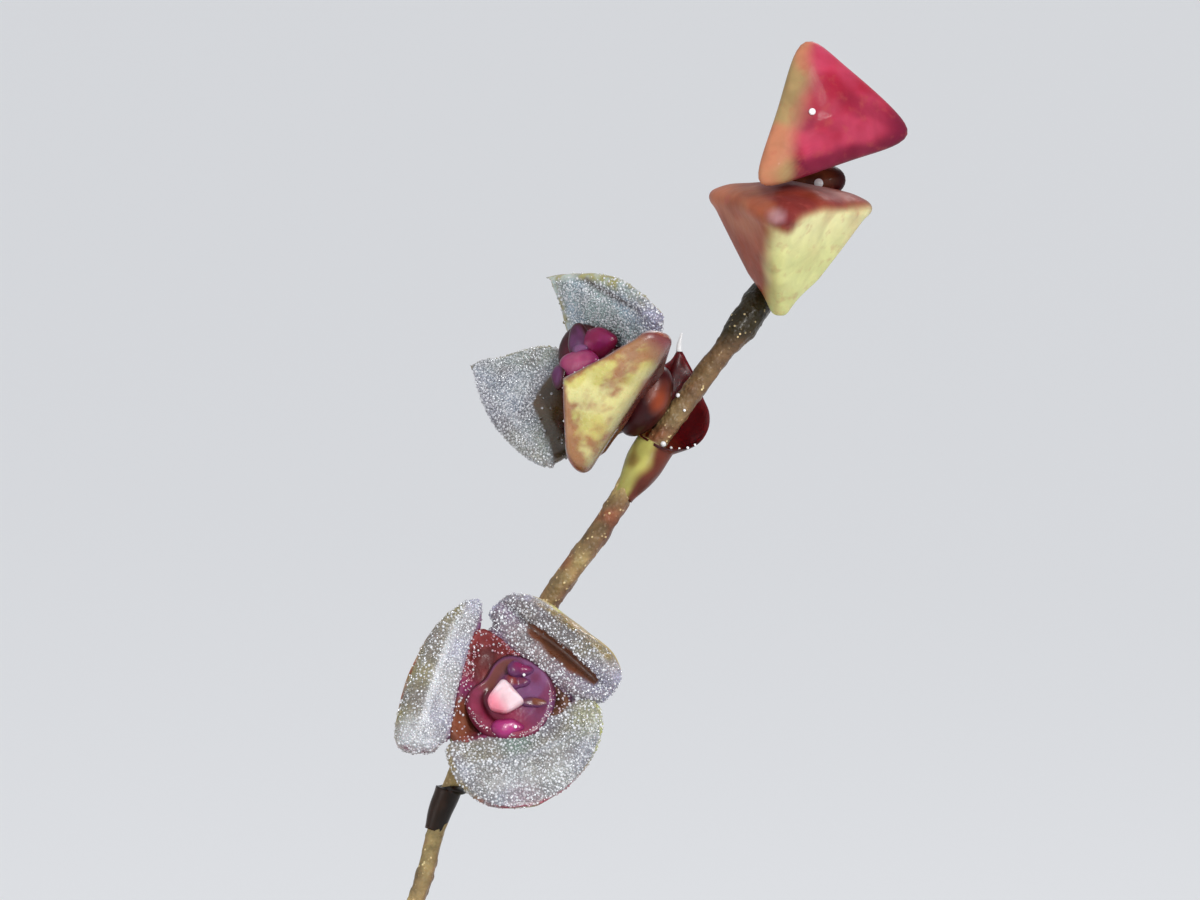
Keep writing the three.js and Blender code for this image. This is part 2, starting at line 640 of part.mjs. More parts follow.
const tall = new THREE.Group();
tall.applyMatrix4(view);
part.add(tall);
add("tall_spike_stem", tallStemGeometry(), COLOURS.stem, 0.6, 0, tall);
for (const { name, rim, axis, firstSepal, from, sepals } of FLOWERS) {
  axis.normalize();
  const foot = rim.clone().addScaledVector(axis, -FLOWER.cup);
  const stand = standing(foot, axis, firstSepal);
  const ovary = ovaryGeometry(from, foot.clone().addScaledVector(axis, 0.1));
  const calyx = join([sepalsGeometry(sepals).applyMatrix4(stand), ovary]);
  add(name + "_sepals", calyx, COLOURS.sepal, 0.35, 0, tall);
  add(name + "_centre", centreGeometry().applyMatrix4(stand), COLOURS.centre, 0.3, 0, tall);
}
for (const { name, foot, axis, corner, size } of BUDS) {
  const stand = standing(foot, axis, corner);
  const colour = name === "bud_upper" ? COLOURS.budRed : COLOURS.budYellow;
  add(name, budGeometry(size, 12, 8).applyMatrix4(stand), colour, 0.35, 0, tall);
}

const LOW_SPIKES = [
  { shoot: [0, 1], height: 41, reach: 16, swing: 20, blooms: 3, buds: 3 },
  { shoot: [2, 1], height: 40, reach: 22, swing: -25, blooms: 3, buds: 2 },
  { shoot: [0, 3], height: 34, reach: 20, swing: -10, blooms: 3, buds: 2 },
  { shoot: [2, 3], height: 32, reach: 24, swing: 12, blooms: 3, buds: 2 },
];
LOW_SPIKES.forEach(({ shoot, height, reach, swing, blooms, buds }, index) => {
  const line = arch(shootPlan(...shoot), height, reach, swing);
  add(`low_spike_${index + 1}`, spikeGeometry({ ...line, blooms, buds }), COLOURS.sepal, 0.5);
});

export default part;
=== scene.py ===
"""A miniature tufted orchid in moss in a slatted wooden basket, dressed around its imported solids."""

import random
from bisect import bisect_right
from math import acos, atan2, copysign, cos, exp, hypot, pi, radians, sin, sqrt
from math import floor as round_down

import bmesh
import bpy
from mathutils import Matrix, Vector, noise
from mathutils.bvhtree import BVHTree


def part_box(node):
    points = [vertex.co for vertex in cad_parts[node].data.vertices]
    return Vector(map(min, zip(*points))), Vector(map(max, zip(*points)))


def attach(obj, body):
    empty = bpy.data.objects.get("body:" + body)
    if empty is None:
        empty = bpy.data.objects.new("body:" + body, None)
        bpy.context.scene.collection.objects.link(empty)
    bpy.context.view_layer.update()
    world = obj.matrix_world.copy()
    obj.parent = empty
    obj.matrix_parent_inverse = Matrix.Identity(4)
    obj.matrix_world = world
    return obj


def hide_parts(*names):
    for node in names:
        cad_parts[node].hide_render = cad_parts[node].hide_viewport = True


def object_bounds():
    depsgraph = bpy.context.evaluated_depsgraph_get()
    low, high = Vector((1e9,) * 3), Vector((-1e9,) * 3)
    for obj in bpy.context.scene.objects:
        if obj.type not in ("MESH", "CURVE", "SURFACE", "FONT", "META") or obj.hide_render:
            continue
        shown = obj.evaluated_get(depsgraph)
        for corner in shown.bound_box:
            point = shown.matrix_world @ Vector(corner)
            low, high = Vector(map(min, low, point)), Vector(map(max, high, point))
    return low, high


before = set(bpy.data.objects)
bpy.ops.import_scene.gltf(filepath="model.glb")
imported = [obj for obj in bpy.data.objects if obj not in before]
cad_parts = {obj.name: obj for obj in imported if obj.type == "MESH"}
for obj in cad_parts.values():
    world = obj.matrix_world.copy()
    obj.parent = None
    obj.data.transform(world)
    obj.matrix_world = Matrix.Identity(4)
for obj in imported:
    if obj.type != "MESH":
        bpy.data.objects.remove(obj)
cad_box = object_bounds()

# Shapes are worked out in millimetres, and each finished piece is scaled to metres.
MM = 0.001

# The view: its middle, how far it leans back, the width that the picture takes in, the camera's distance,
# and in metres how near and far it sees and half the floor's width.
VIEW_MIDDLE = Vector((2.3, -11.8, 134.0))
VIEW_LEAN = radians(12)
VIEW_WIDTH = 27.7
CAMERA_DISTANCE = 160.0
SENSOR_WIDTH = 36.0
CLIP = (0.01, 20)
FLOOR_HALF = 3.0

# Flower: a three-cornered cup, and how far a sepal's root reaches down inside the rim.
CUP_HEIGHT = 1.4
CUP_THROAT = 0.38
CUP_RIM = 0.92
SEPAL_ROOT = 0.28

# Tall spike: points to the right, away and up from the middle of the view.
TALL_SPIKE = [
    (-4.25, 0, -10.4), (-3.75, 0, -8.7), (-3.15, 0, -7.1), (-2.31, 0, -5.54), (-1.15, 0, -3.46),
    (0.0, 0, -1.85), (0.99, 0, -0.28), (2.08, 0, 1.27), (3.12, 0, 2.66), (3.55, 0.22, 3.25),
    (4.0, 0.75, 4.2), (4.2, 1.0, 5.6), (4.25, 1.0, 7.05),
]
RACHIS_RADIUS = 0.26

# Rhizome and shoots, as the solids have them, and three times as many roots.
BRANCHES = 3
BRANCH_TURN = 105
BRANCH_LENGTH = 18
RHIZOME_RADIUS = 1.25
SURFACE_CLEAR = 0.7
SHOOT_AT = [3, 7.5, 12, 16.5]
SHOOT_SWING = [-75, 46, -38, 12]
SHOOT_TILT = [7, 17, 25, 36]
STEM_LENGTH = [21, 18, 17, 14]
LEAF_LENGTH = [37, 34, 35, 30]
LEAF_WIDTH = 9.4
PETIOLE_WIDTH = 2.2
LEAF_THICKNESS = 0.9
LEAF_DROOP = 30
ROOTS = 18
ROOT_STOPS = 8
ROOT_RADIUS = 0.55
ROOT_LENGTH = 26

# Moss, as the solid has it, the height of a course of slats, and the pins.
MOSS_HALF = 30.6
MOSS_TOP = 45.6
MOSS_DOME = 4.5
MOSS_LUMP = 0.7
MOSS_CELLS = 10
SLAT_COURSE = 8.2
PIN_RADIUS = 1
PIN_HEAD = 2.3
PIN_HEAD_HEIGHT = 1.3


# Numbers and colours

def mix(a, b, share):
    return a + (b - a) * share


def smooth(low, high, x):
    share = min(1.0, max(0.0, (x - low) / (high - low)))
    return share * share * (3 - 2 * share)


def rough(point, scale, seed=0.0):
    """Smooth noise from 0 to 1 at a point, with scale bumps to the millimetre."""
    return 0.5 + 0.5 * noise.noise(Vector(point) * scale + Vector((seed, seed * 0.7, -seed)))


def patchy(point, scale, low, high, seed=0.0):
    """Soft patches from 0 to 1: where the noise at a point rises from low to high."""
    return smooth(low, high, rough(point, scale, seed))


def paint(*screen):
    """A colour as a screen shows it, 0 to 255, as the linear one that a shader takes."""
    shares = [shade / 255 for shade in screen]
    linear = [share / 12.92 if share <= 0.04045 else ((share + 0.055) / 1.055) ** 2.4 for share in shares]
    return Vector((*linear, 1.0))


def stained(colour, *stains):
    """A colour with stains laid over it one after another, each a dye and its share."""
    for stain, share in stains:
        colour = mix(colour, stain, share)
    return colour


SILVER = paint(186, 188, 194)
BLUE_SILVER = paint(168, 182, 192)
FROST_BLUE = paint(188, 212, 224)
LILAC = paint(180, 176, 200)
MIST_GREEN = paint(124, 152, 138)
PEWTER = paint(140, 132, 134)
OLIVE = paint(150, 140, 92)
OLIVE_DARK = paint(56, 47, 16)
LIME = paint(205, 205, 112)
CREAM = paint(228, 222, 164)
SULPHUR = paint(188, 178, 96)
TAN = paint(180, 118, 88)
RUST = paint(140, 66, 42)
BROWN = paint(96, 62, 42)
MAROON = paint(52, 6, 10)
CRIMSON = paint(158, 30, 54)
ROSE = paint(180, 60, 86)
WINE = paint(104, 18, 46)
PURPLE = paint(96, 46, 88)
MAUVE = paint(126, 76, 116)
MAGENTA = paint(184, 50, 124)
BERRY = paint(128, 26, 80)
PALE_PINK = paint(255, 222, 228)
PINK = paint(240, 140, 158)
AMBER = paint(150, 58, 16)
SOOT = paint(26, 16, 9)
STRAW = paint(168, 146, 96)
BARK = paint(116, 92, 62)
LEAF_GREEN = paint(58, 92, 34)
LEAF_DARK = paint(34, 60, 24)
LEAF_BACK = paint(104, 128, 66)
MOSS_GREEN = paint(126, 132, 52)
MOSS_STRAW = paint(178, 162, 98)
MOSS_BROWN = paint(84, 66, 36)
WHITE = paint(245, 246, 250)


# Lines and frames

def between(a, b, c, d, share):
    """A point on the smooth line through four points, on its middle stretch."""
    knots = [0.0]
    for start, end in ((a, b), (b, c), (c, d)):
        knots.append(knots[-1] + sqrt((end - start).length))
    at = mix(knots[1], knots[2], share)

    def blend(p, q, low, high):
        return p * ((high - at) / (high - low)) + q * ((at - low) / (high - low))

    first = blend(a, b, knots[0], knots[1])
    second = blend(b, c, knots[1], knots[2])
    third = blend(c, d, knots[2], knots[3])
    early = blend(first, second, knots[0], knots[2])
    late = blend(second, third, knots[1], knots[3])
    return blend(early, late, knots[1], knots[2])


class Line:
    """A smooth line through points, read by its share of the length, with a frame that doesn't twist."""

    def __init__(self, points, steps=20):
        points = [Vector(point) for point in points]
        ends = [points[0] * 2 - points[1], *points, points[-1] * 2 - points[-2]]
        self.spots = [
            between(*ends[i:i + 4], step / steps) for i in range(len(points) - 1) for step in range(steps)
        ]
        self.spots.append(points[-1])
        self.reach = [0.0]
        for start, end in zip(self.spots, self.spots[1:]):
            self.reach.append(self.reach[-1] + (end - start).length)
        self.length = self.reach[-1]
        self.ways = [
            (self.spots[min(i + 1, len(self.spots) - 1)] - self.spots[max(i - 1, 0)]).normalized()
            for i in range(len(self.spots))
        ]
        side = self.ways[0].orthogonal().normalized()
        self.sides = []
        for way in self.ways:
            side = (side - way * side.dot(way)).normalized()
            self.sides.append(side)

    def at(self, share):
        """The spot at a share of the length, the way on, and two directions across."""
        run = min(1.0, max(0.0, share)) * self.length
        low = min(len(self.reach) - 2, bisect_right(self.reach, run) - 1)
        high = low + 1
        part = (run - self.reach[low]) / max(1e-9, self.reach[high] - self.reach[low])
        way = self.ways[low].lerp(self.ways[high], part).normalized()
        side = self.sides[low].lerp(self.sides[high], part)
        side = (side - way * side.dot(way)).normalized()
        return self.spots[low].lerp(self.spots[high], part), way, side, way.cross(side)

    def out_at(self, share, turn):
        """The spot at a share of the length, and the way out from it at a turn round it."""
        spot, way, side, up = self.at(share)
        return spot, side * cos(turn) + up * sin(turn)


def polar(radius, turn, z=0.0):
    return Vector((radius * cos(turn), radius * sin(turn), z))


def rounded(start, share):
    """The size of a limb that is whole up to a share of its length and ends there in a round tip."""
    return sqrt(max(0.0, 1 - smooth(start, 1.0, share)))


def standing(place, axis, first):
    """The frame of a flower or bud: Z along its axis, X towards its first sepal or corner."""
    z = Vector(axis).normalized()
    first = Vector(first)
    x = (first - z * first.dot(z)).normalized()
    y = z.cross(x)
    return Matrix.Translation(Vector(place)) @ Matrix((x, y, z)).transposed().to_4x4()


view = Matrix.Translation(VIEW_MIDDLE) @ Matrix.Rotation(-VIEW_LEAN, 4, "X")
view_turn = view.to_3x3()


# Meshes

WELD = 1e-4


def start_mesh():
    mesh = bmesh.new()
    mesh.verts.layers.float_color.new("tint")
    mesh.verts.layers.float.new("frost")
    mesh.loops.layers.uv.new("along")
    return mesh


def dye(mesh, vert, colour, frost=0.0):
    vert[mesh.verts.layers.float_color["tint"]] = colour
    vert[mesh.verts.layers.float["frost"]] = frost


def sheet(mesh, columns, rows, place, wall=None):
    """A grid that meets itself all round, whose points place(turn, along, vert) puts in place. With a wall it
    stays open at both ends, and otherwise it closes there."""
    made = bmesh.ops.create_grid(mesh, x_segments=columns, y_segments=rows, size=1, calc_uvs=True)["verts"]
    for vert in made:
        vert.co = place((vert.co.x + 1) * pi, (vert.co.y + 1) / 2, vert)
    bmesh.ops.remove_doubles(mesh, verts=made, dist=WELD)
    made = [vert for vert in made if vert.is_valid]
    if not wall:
        edges = {edge for vert in made for edge in vert.link_edges if edge.is_boundary}
        bmesh.ops.holes_fill(mesh, edges=list(edges), sides=0)
    faces = list({face for vert in made for face in vert.link_faces})
    bmesh.ops.recalc_face_normals(mesh, faces=faces)
    if wall:
        bmesh.ops.solidify(mesh, geom=faces, thickness=wall)


def tube(mesh, line, rings, sides, radius, colour):
    """A limb along a line. radius(share, turn) and colour(share, point) shape and dye it."""
    def place(turn, along, vert):
        spot, out = line.out_at(along, turn)
        point = spot + out * radius(along, turn)
        dye(mesh, vert, colour(along, point))
        return point

    sheet(mesh, sides, rings, place)


def sleeve(mesh, line, columns, rows, wall, share, radius, colour):
    """A sheath round a line, open at both ends. share(along, turn) is how far up the line a point of it lies,
    and radius(along) and colour(along, point) shape and dye it."""
    def place(turn, along, vert):
        spot, out = line.out_at(share(along, turn), turn)
        dye(mesh, vert, colour(along, spot + out))
        return spot + out * radius(along)

    sheet(mesh, columns, rows, place, wall)


def lump(mesh, stand, halves, colour, wobble=0.0, across=28, down=18, shape=Vector):
    """A ball stretched to three half sizes in a frame, with a wobble in millimetres."""
    for vert in bmesh.ops.create_uvsphere(mesh, u_segments=across, v_segments=down, radius=1.0)["verts"]:
        point = stand @ Vector([a * b for a, b in zip(shape(vert.co), halves)])
        point += (point - stand.translation).normalized() * wobble * (rough(point, 1.0 / max(halves)) - 0.5)
        dye(mesh, vert, colour(vert.co, point))
        vert.co = point


def copies(mesh, count):
    """Repeats the form that the mesh holds until there are count of it, in order. Gives one form's points."""
    verts, edges, faces = len(mesh.verts), len(mesh.edges), len(mesh.faces)
    pattern = [vert.co.copy() for vert in mesh.verts]
    have = 1
    while have < count:
        more = min(have, count - have)
        mesh.verts.ensure_lookup_table()
        geom = mesh.verts[:more * verts] + mesh.edges[:more * edges] + mesh.faces[:more * faces]
        bmesh.ops.duplicate(mesh, geom=geom)
        have += more
    mesh.verts.ensure_lookup_table()
    return pattern


def bead_mesh(spots):
    """Small round beads: each spot is a point, a radius and a colour."""
    mesh = start_mesh()
    bmesh.ops.create_icosphere(mesh, subdivisions=1, radius=1.0)
    pattern = copies(mesh, len(spots))
    for index, (point, radius, colour) in enumerate(spots):
        for corner, start in enumerate(pattern):
            vert = mesh.verts[index * len(pattern) + corner]
            vert.co = point + start * radius
            dye(mesh, vert, colour, 1.0)
    return mesh


def to_data(mesh, name):
    data = bpy.data.meshes.new(name)
    mesh.to_mesh(data)
    mesh.free()
    return data


def add_object(name, data):
    made = bpy.data.objects.new(name, data)
    bpy.context.scene.collection.objects.link(made)
    return made


def finish_piece(mesh, name, material, slot, *nodes):
    """Makes a mesh in millimetres a named object in metres, riding on the root in place of its nodes."""
    bmesh.ops.scale(mesh, vec=(MM, MM, MM), verts=mesh.verts[:])
    data = to_data(mesh, name)
    for polygon in data.polygons:
        polygon.use_smooth = True
    data.materials.append(material)
    piece = add_object(name, data)
    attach(piece, "root")
    if nodes:
        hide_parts(*nodes)


# Materials

class Finish:
    """A material in the making: its shader, and its place on the object in millimetres."""

    def __init__(self, name, roughness=0.5, **settings):
        self.material = bpy.data.materials.new(name)
        self.material.use_nodes = True
        self.nodes = self.material.node_tree.nodes
        self.links = self.material.node_tree.links
        self.shader = self.nodes["Principled BSDF"]
        self.shader.inputs["Roughness"].default_value = roughness
        for label, value in settings.items():
            self.shader.inputs[label.replace("_", " ")].default_value = value
        place = self.nodes.new("ShaderNodeTexCoord").outputs["Object"]
        scaled = self.node("ShaderNodeVectorMath", {0: place, "Scale": 1 / MM}, operation="SCALE")
        self.place = scaled.outputs[0]
        self.height = None

    def feed(self, value, socket):
        """Links another node's socket to this one, or sets a plain value in it."""
        if isinstance(value, bpy.types.NodeSocket):
            self.links.new(value, socket)
        else:
            socket.default_value = value

    def node(self, kind, inputs, **settings):
        made = self.nodes.new(kind)
        for label, value in settings.items():
            setattr(made, label, value)
        for label, value in inputs.items():
            self.feed(value, made.inputs[label])
        return made

    def attribute(self, name, output="Color"):
        return self.node("ShaderNodeAttribute", {}, attribute_name=name).outputs[output]

    def stretched(self, scale, place=None):
        return self.node("ShaderNodeMapping", {"Vector": place or self.place, "Scale": scale}).outputs[0]

    def lengthways(self, across, along):
        """The place on a sheet's own grid, round it and along it."""
        grid = self.node("ShaderNodeUVMap", {}, uv_map="along").outputs[0]
        return self.stretched((across, along, 1), grid)

    def noise(self, scale, detail=3.0, place=None, distortion=0.0):
        inputs = {"Vector": place or self.place, "Scale": scale, "Detail": detail, "Distortion": distortion}
        return self.node("ShaderNodeTexNoise", inputs).outputs["Fac"]

    def cells(self, scale, output="Distance"):
        return self.node("ShaderNodeTexVoronoi", {"Vector": self.place, "Scale": scale}).outputs[output]

    def ramp(self, factor, *stops):
        """What a factor means in shades or colours, at stops of a position and a value."""
        made = self.node("ShaderNodeValToRGB", {"Fac": factor})
        band = made.color_ramp
        while len(band.elements) < len(stops):
            band.elements.new(0.5)
        for element, (position, colour) in zip(band.elements, stops):
            element.position = position
            element.color = (colour, colour, colour, 1) if isinstance(colour, (int, float)) else colour
        return made.outputs["Color"]

    def clouds(self, scale, detail, *stops, distortion=0.0):
        return self.ramp(self.noise(scale, detail, distortion=distortion), *stops)

    def mix(self, factor, a, b, blend="MIX"):
        inputs = {0: factor, 6: a, 7: b}
        return self.node("ShaderNodeMix", inputs, data_type="RGBA", blend_type=blend).outputs[2]

    def shaded(self, colour, shade):
        return self.mix(1.0, colour, shade, "MULTIPLY")

    def dyed(self, shade):
        """The piece's own dye, darker and lighter by a shade."""
        return self.shaded(self.attribute("tint"), shade)

    def times(self, a, b):
        return self.node("ShaderNodeMath", {0: a, 1: b}, operation="MULTIPLY").outputs[0]

    def bump(self, height, depth, strength=1.0):
        """Adds relief of a depth in millimetres."""
        inputs = {"Height": height, "Distance": depth * MM, "Strength": strength}
        if self.height:
            inputs["Normal"] = self.height
        self.height = self.node("ShaderNodeBump", inputs).outputs["Normal"]
        self.links.new(self.height, self.shader.inputs["Normal"])

    def colour(self, value, label="Base Color"):
        self.feed(value, self.shader.inputs[label])


def frosted_sepal():
    """Sepal flesh, covered with glassy grains where it is frosted, with painted shade in the gaps between
    the grains and painted white glints on them, and smooth and mottled elsewhere.
    """
    finish = Finish("frosted sepal", Coat_Weight=0.25, Coat_Roughness=0.2, Specular_IOR_Level=0.6,
                    Subsurface_Weight=0.12, Subsurface_Scale=0.0004)
    frost = finish.attribute("frost", "Fac")
    base = finish.dyed(finish.clouds(1.6, 4, (0.3, 0.78), (0.7, 1.12)))
    grain = finish.cells(17)
    # Where frosted, the base is darkened between the grains: painted shade in the gaps.
    base = finish.mix(frost, base, finish.shaded(base, finish.ramp(grain, (0.2, 1.0), (0.55, 0.44))))
    # White glints mixed into the colour where the clouds choose: painted highlights on the grains.
    chosen = finish.clouds(6, 2, (0.42, 0.0), (0.62, 1.0))
    glint = finish.times(finish.times(finish.ramp(grain, (0.12, 1.0), (0.34, 0.0)), chosen), frost)
    finish.colour(finish.mix(finish.times(glint, 0.75), base, WHITE))
    finish.colour(finish.ramp(finish.cells(14, "Color"), (0.2, 0.22), (0.8, 0.5)), "Roughness")
    finish.bump(finish.times(finish.ramp(grain, (0.0, 1.0), (0.6, 0.0)), frost), 0.02, 0.9)
    finish.bump(finish.noise(5, 3), 0.03, 0.5)
    return finish.material


def sugar_bead():
    finish = Finish("sugar bead", 0.16, Coat_Weight=0.6, Coat_Roughness=0.05, Specular_IOR_Level=0.8,
                    Transmission_Weight=0.25)
    finish.colour(finish.dyed(finish.clouds(4, 2, (0.3, 0.8), (0.7, 1.0))))
    return finish.material


def wet_flesh(name, roughness, glow, relief, scale, coat):
    """Fleshy, wet and a little translucent, in its piece's own dye."""
    finish = Finish(name, roughness, Coat_Weight=coat, Coat_Roughness=0.08, Specular_IOR_Level=0.22,
                    Subsurface_Weight=glow, Subsurface_Scale=0.0005, Subsurface_Radius=(1.0, 0.35, 0.3))
    finish.colour(finish.dyed(finish.clouds(scale * 0.4, 4, (0.3, 0.72), (0.7, 1.15))))
    finish.bump(finish.noise(scale, 4), relief, 0.7)
    return finish.material


def bud_skin():
    finish = Finish("bud skin", 0.42, Coat_Weight=0.06, Coat_Roughness=0.1, Specular_IOR_Level=0.1,
                    Subsurface_Weight=0.2, Subsurface_Scale=0.0006, Subsurface_Radius=(1.0, 0.45, 0.3))
    base = finish.dyed(finish.clouds(1.5, 4, (0.35, 0.84), (0.7, 1.12), distortion=0.6))
    blush = finish.clouds(3.2, 5, (0.56, 0.0), (0.74, 0.4))
    finish.colour(finish.mix(blush, base, paint(170, 80, 70)))
    finish.bump(finish.noise(1.8, 3), 0.06, 0.5)
    return finish.material


def warty_stem():
    """Brown stem skin with ribs along it and warts, with gold glints painted in as highlights."""
    finish = Finish("warty stem", 0.4, Coat_Weight=0.12, Coat_Roughness=0.15, Specular_IOR_Level=0.25,
                    Subsurface_Weight=0.06, Subsurface_Scale=0.0003)
    base = finish.dyed(finish.clouds(3.2, 5, (0.3, 0.62), (0.7, 1.25)))
    grain = finish.cells(9)
    chosen = finish.clouds(5, 2, (0.52, 0.0), (0.66, 1.0))
    # Gold glints mixed into the colour on the warts: painted highlights.
    glint = finish.times(finish.ramp(grain, (0.14, 1.0), (0.3, 0.0)), chosen)
    finish.colour(finish.mix(glint, base, paint(240, 214, 160)))
    finish.bump(finish.ramp(grain, (0.0, 1.0), (0.7, 0.0)), 0.03, 0.8)
    finish.bump(finish.noise(9, 4), 0.03, 0.6)
    return finish.material


def leathery_leaf():
    """Leaf skin, in its piece's own dye, with faint veins along it and a pebbled satin surface."""
    finish = Finish("leathery leaf", 0.36, Coat_Weight=0.2, Coat_Roughness=0.25, Specular_IOR_Level=0.5,
                    Subsurface_Weight=0.08, Subsurface_Scale=0.001)
    base = finish.dyed(finish.clouds(0.35, 5, (0.3, 0.8), (0.72, 1.18)))
    base = finish.mix(finish.clouds(2.6, 3, (0.68, 0.0), (0.78, 0.45)), base, OLIVE_DARK)
    veins = finish.noise(1.0, 2, finish.lengthways(46, 1.2))
    finish.colour(finish.mix(finish.ramp(veins, (0.45, 0.0), (0.75, 0.22)), base, LEAF_BACK))
    finish.colour(finish.clouds(0.8, 3, (0.3, 0.28), (0.7, 0.5)), "Roughness")
    finish.bump(veins, 0.06, 0.5)
    finish.bump(finish.noise(4.5, 3), 0.03, 0.5)
    return finish.material


def papery_sheath():
    finish = Finish("papery sheath", 0.62, Specular_IOR_Level=0.35)
    ribs = finish.noise(1.0, 3, finish.lengthways(30, 2))
    finish.colour(finish.dyed(finish.ramp(ribs, (0.3, 0.6), (0.7, 1.3))))
    finish.bump(ribs, 0.1, 0.8)
    finish.bump(finish.noise(3, 4), 0.05, 0.5)
    return finish.material


def damp_moss(name, lift):
    finish = Finish(name, 0.8, Specular_IOR_Level=0.3)
    finish.colour(finish.dyed(finish.clouds(0.16, 4, (0.3, 0.75 * lift), (0.7, 1.25 * lift))))
    finish.bump(finish.noise(2.5, 4), 0.25, 0.8)
    return finish.material


def weathered_wood(name, along_x):
    """Unvarnished slats: grain along their length, darker lines, pores, and grey weathering in patches."""
    finish = Finish(name, 0.66, Specular_IOR_Level=0.35)
    coarse = (0.035, 0.9, 0.9) if along_x else (0.9, 0.035, 0.9)
    fine = (0.09, 5.0, 5.0) if along_x else (5.0, 0.09, 5.0)
    grain = finish.noise(1.0, 5, finish.stretched(coarse), 1.4)
    pores = finish.noise(1.0, 4, finish.stretched(fine))
    base = finish.ramp(grain, (0.28, paint(116, 76, 44)), (0.45, paint(166, 118, 74)),
                       (0.55, paint(184, 138, 92)), (0.72, paint(134, 90, 54)))
    base = finish.mix(finish.ramp(pores, (0.3, 0.55), (0.5, 0.0)), base, paint(78, 52, 32))
    base = finish.mix(finish.clouds(0.11, 5, (0.45, 0.0), (0.7, 0.6)), base, paint(150, 136, 116))
    damp = finish.clouds(0.07, 4, (0.55, 0.0), (0.7, 0.5), distortion=0.8)
    finish.colour(finish.mix(damp, base, paint(84, 78, 44)))
    finish.colour(finish.ramp(pores, (0.3, 0.85), (0.7, 0.55)), "Roughness")
    finish.bump(pores, 0.16, 0.7)
    finish.bump(grain, 0.3, 0.5)
    return finish.material


def galvanised_wire():
    finish = Finish("galvanised wire", 0.42, Metallic=1.0)
    cells = finish.cells(1.4, "Color")
    spangle = finish.ramp(cells, (0.2, paint(150, 152, 156)), (0.8, paint(196, 198, 202)))
    rust = finish.clouds(0.9, 5, (0.6, 0.0), (0.74, 0.7))
    finish.colour(finish.mix(rust, spangle, paint(112, 70, 44)))
    finish.colour(finish.clouds(3, 3, (0.3, 0.3), (0.7, 0.55)), "Roughness")
    finish.bump(finish.noise(4, 3), 0.03, 0.5)
    return finish.material


def studio_floor():
    finish = Finish("studio floor", 0.6, Specular_IOR_Level=0.2)
    finish.colour(finish.clouds(0.0008, 2, (0.3, paint(236, 236, 237)), (0.7, paint(240, 240, 240))))
    return finish.material


def whitened_drop():
    finish = Finish("clear drop", 0.03, Transmission_Weight=0.12, IOR=1.34, Coat_Weight=1.0,
                    Coat_Roughness=0.02)
    # Near white rather than clear: a painted highlight, so that the drops read as bright glints.
    finish.colour(finish.clouds(2.0, 2, (0.3, 0.92), (0.7, 1.0)))
    return finish.material


SEPAL = frosted_sepal()
BEAD = sugar_bead()
DROP = whitened_drop()
CUP = wet_flesh("cup flesh", 0.5, 0.25, 0.04, 8.0, 0.05)
CENTRE = wet_flesh("flower centre", 0.3, 0.22, 0.04, 4.0, 0.25)
BRACT = wet_flesh("glassy bract", 0.36, 0.18, 0.02, 4.0, 0.04)
BUD = bud_skin()
STEM = warty_stem()
LEAF = leathery_leaf()
SHEATH = papery_sheath()
MOSS_BED = damp_moss("moss bed", 0.8)
MOSS_STRAND = damp_moss("moss strand", 1.1)
WOOD_X = weathered_wood("weathered wood lengthways", True)
WOOD_Y = weathered_wood("weathered wood crossways", False)
WIRE = galvanised_wire()


# Camera, first, so that the picture's frame is fixed

camera_data = bpy.data.cameras.new("camera")
camera_data.sensor_width = SENSOR_WIDTH
camera_data.lens = SENSOR_WIDTH * CAMERA_DISTANCE / VIEW_WIDTH
camera_data.clip_start, camera_data.clip_end = CLIP
camera = add_object("camera", camera_data)
camera.location = (view @ Vector((0, -CAMERA_DISTANCE, 0))) * MM
camera.rotation_euler = (pi / 2 - VIEW_LEAN, 0, 0)
bpy.context.scene.camera = camera


# Flowers

# What stands on the disc: to the viewer's right, up and out, half sizes, the way that its short axis
# points, and the dyes of its middle and its edge.
FRONT_LUMPS = [
    dict(at=(0.44, 0.5, 1.44), halves=(0.32, 0.2, 0.18), way=(0.3, 0.2, 1), dyes=(BERRY, PURPLE)),
    dict(at=(0.34, 0.24, 1.4), halves=(0.32, 0.2, 0.13), way=(0.1, 0.2, 1),
         dyes=(mix(RUST, WINE, 0.6), PURPLE)),
    dict(at=(0.76, -0.28, 1.42), halves=(0.36, 0.12, 0.07), way=(0.1, 0.1, 1),
         dyes=(mix(RUST, BROWN, 0.5), PURPLE)),
    dict(at=(0.14, -0.88, 1.38), halves=(0.38, 0.22, 0.19), way=(0, -0.2, 1),
         dyes=(mix(MAGENTA, PURPLE, 0.2), BERRY)),
]
# What shows of the side flower's centre: to the right, away and up from the middle of its rim.
SIDE_LUMPS = [
    dict(at=(-0.15, 0.16, 0.6), halves=(0.8, 0.74, 0.26), way=(-0.5, -0.8, 0.1), dyes=(WINE, MAROON)),
    dict(at=(-0.36, -0.1, 0.94), halves=(0.3, 0.4, 0.2), way=(-0.5, -0.8, 0.1), dyes=(PURPLE, MAROON)),
    dict(at=(0.08, -0.2, 0.94), halves=(0.46, 0.36, 0.26), way=(-0.2, -0.9, 0.3), dyes=(BERRY, WINE)),
    dict(at=(-0.32, -0.26, 0.72), halves=(0.22, 0.2, 0.18), way=(-0.4, -0.8, 0.2), dyes=(MAUVE, PURPLE)),
    dict(at=(-0.36, -0.42, 0.44), halves=(0.5, 0.32, 0.2), way=(-0.5, -0.8, 0.3),
         dyes=(mix(ROSE, MAUVE, 0.5), BERRY)),
    dict(at=(-0.82, -0.26, 0.16), halves=(0.22, 0.32, 0.14), way=(-0.7, -0.6, 0.2), dyes=(PURPLE, MAROON)),
    dict(at=(0.52, -0.02, 1.1), halves=(0.5, 0.24, 0.14), way=(-0.4, -0.9, 0.1), dyes=(WINE, RUST)),
]
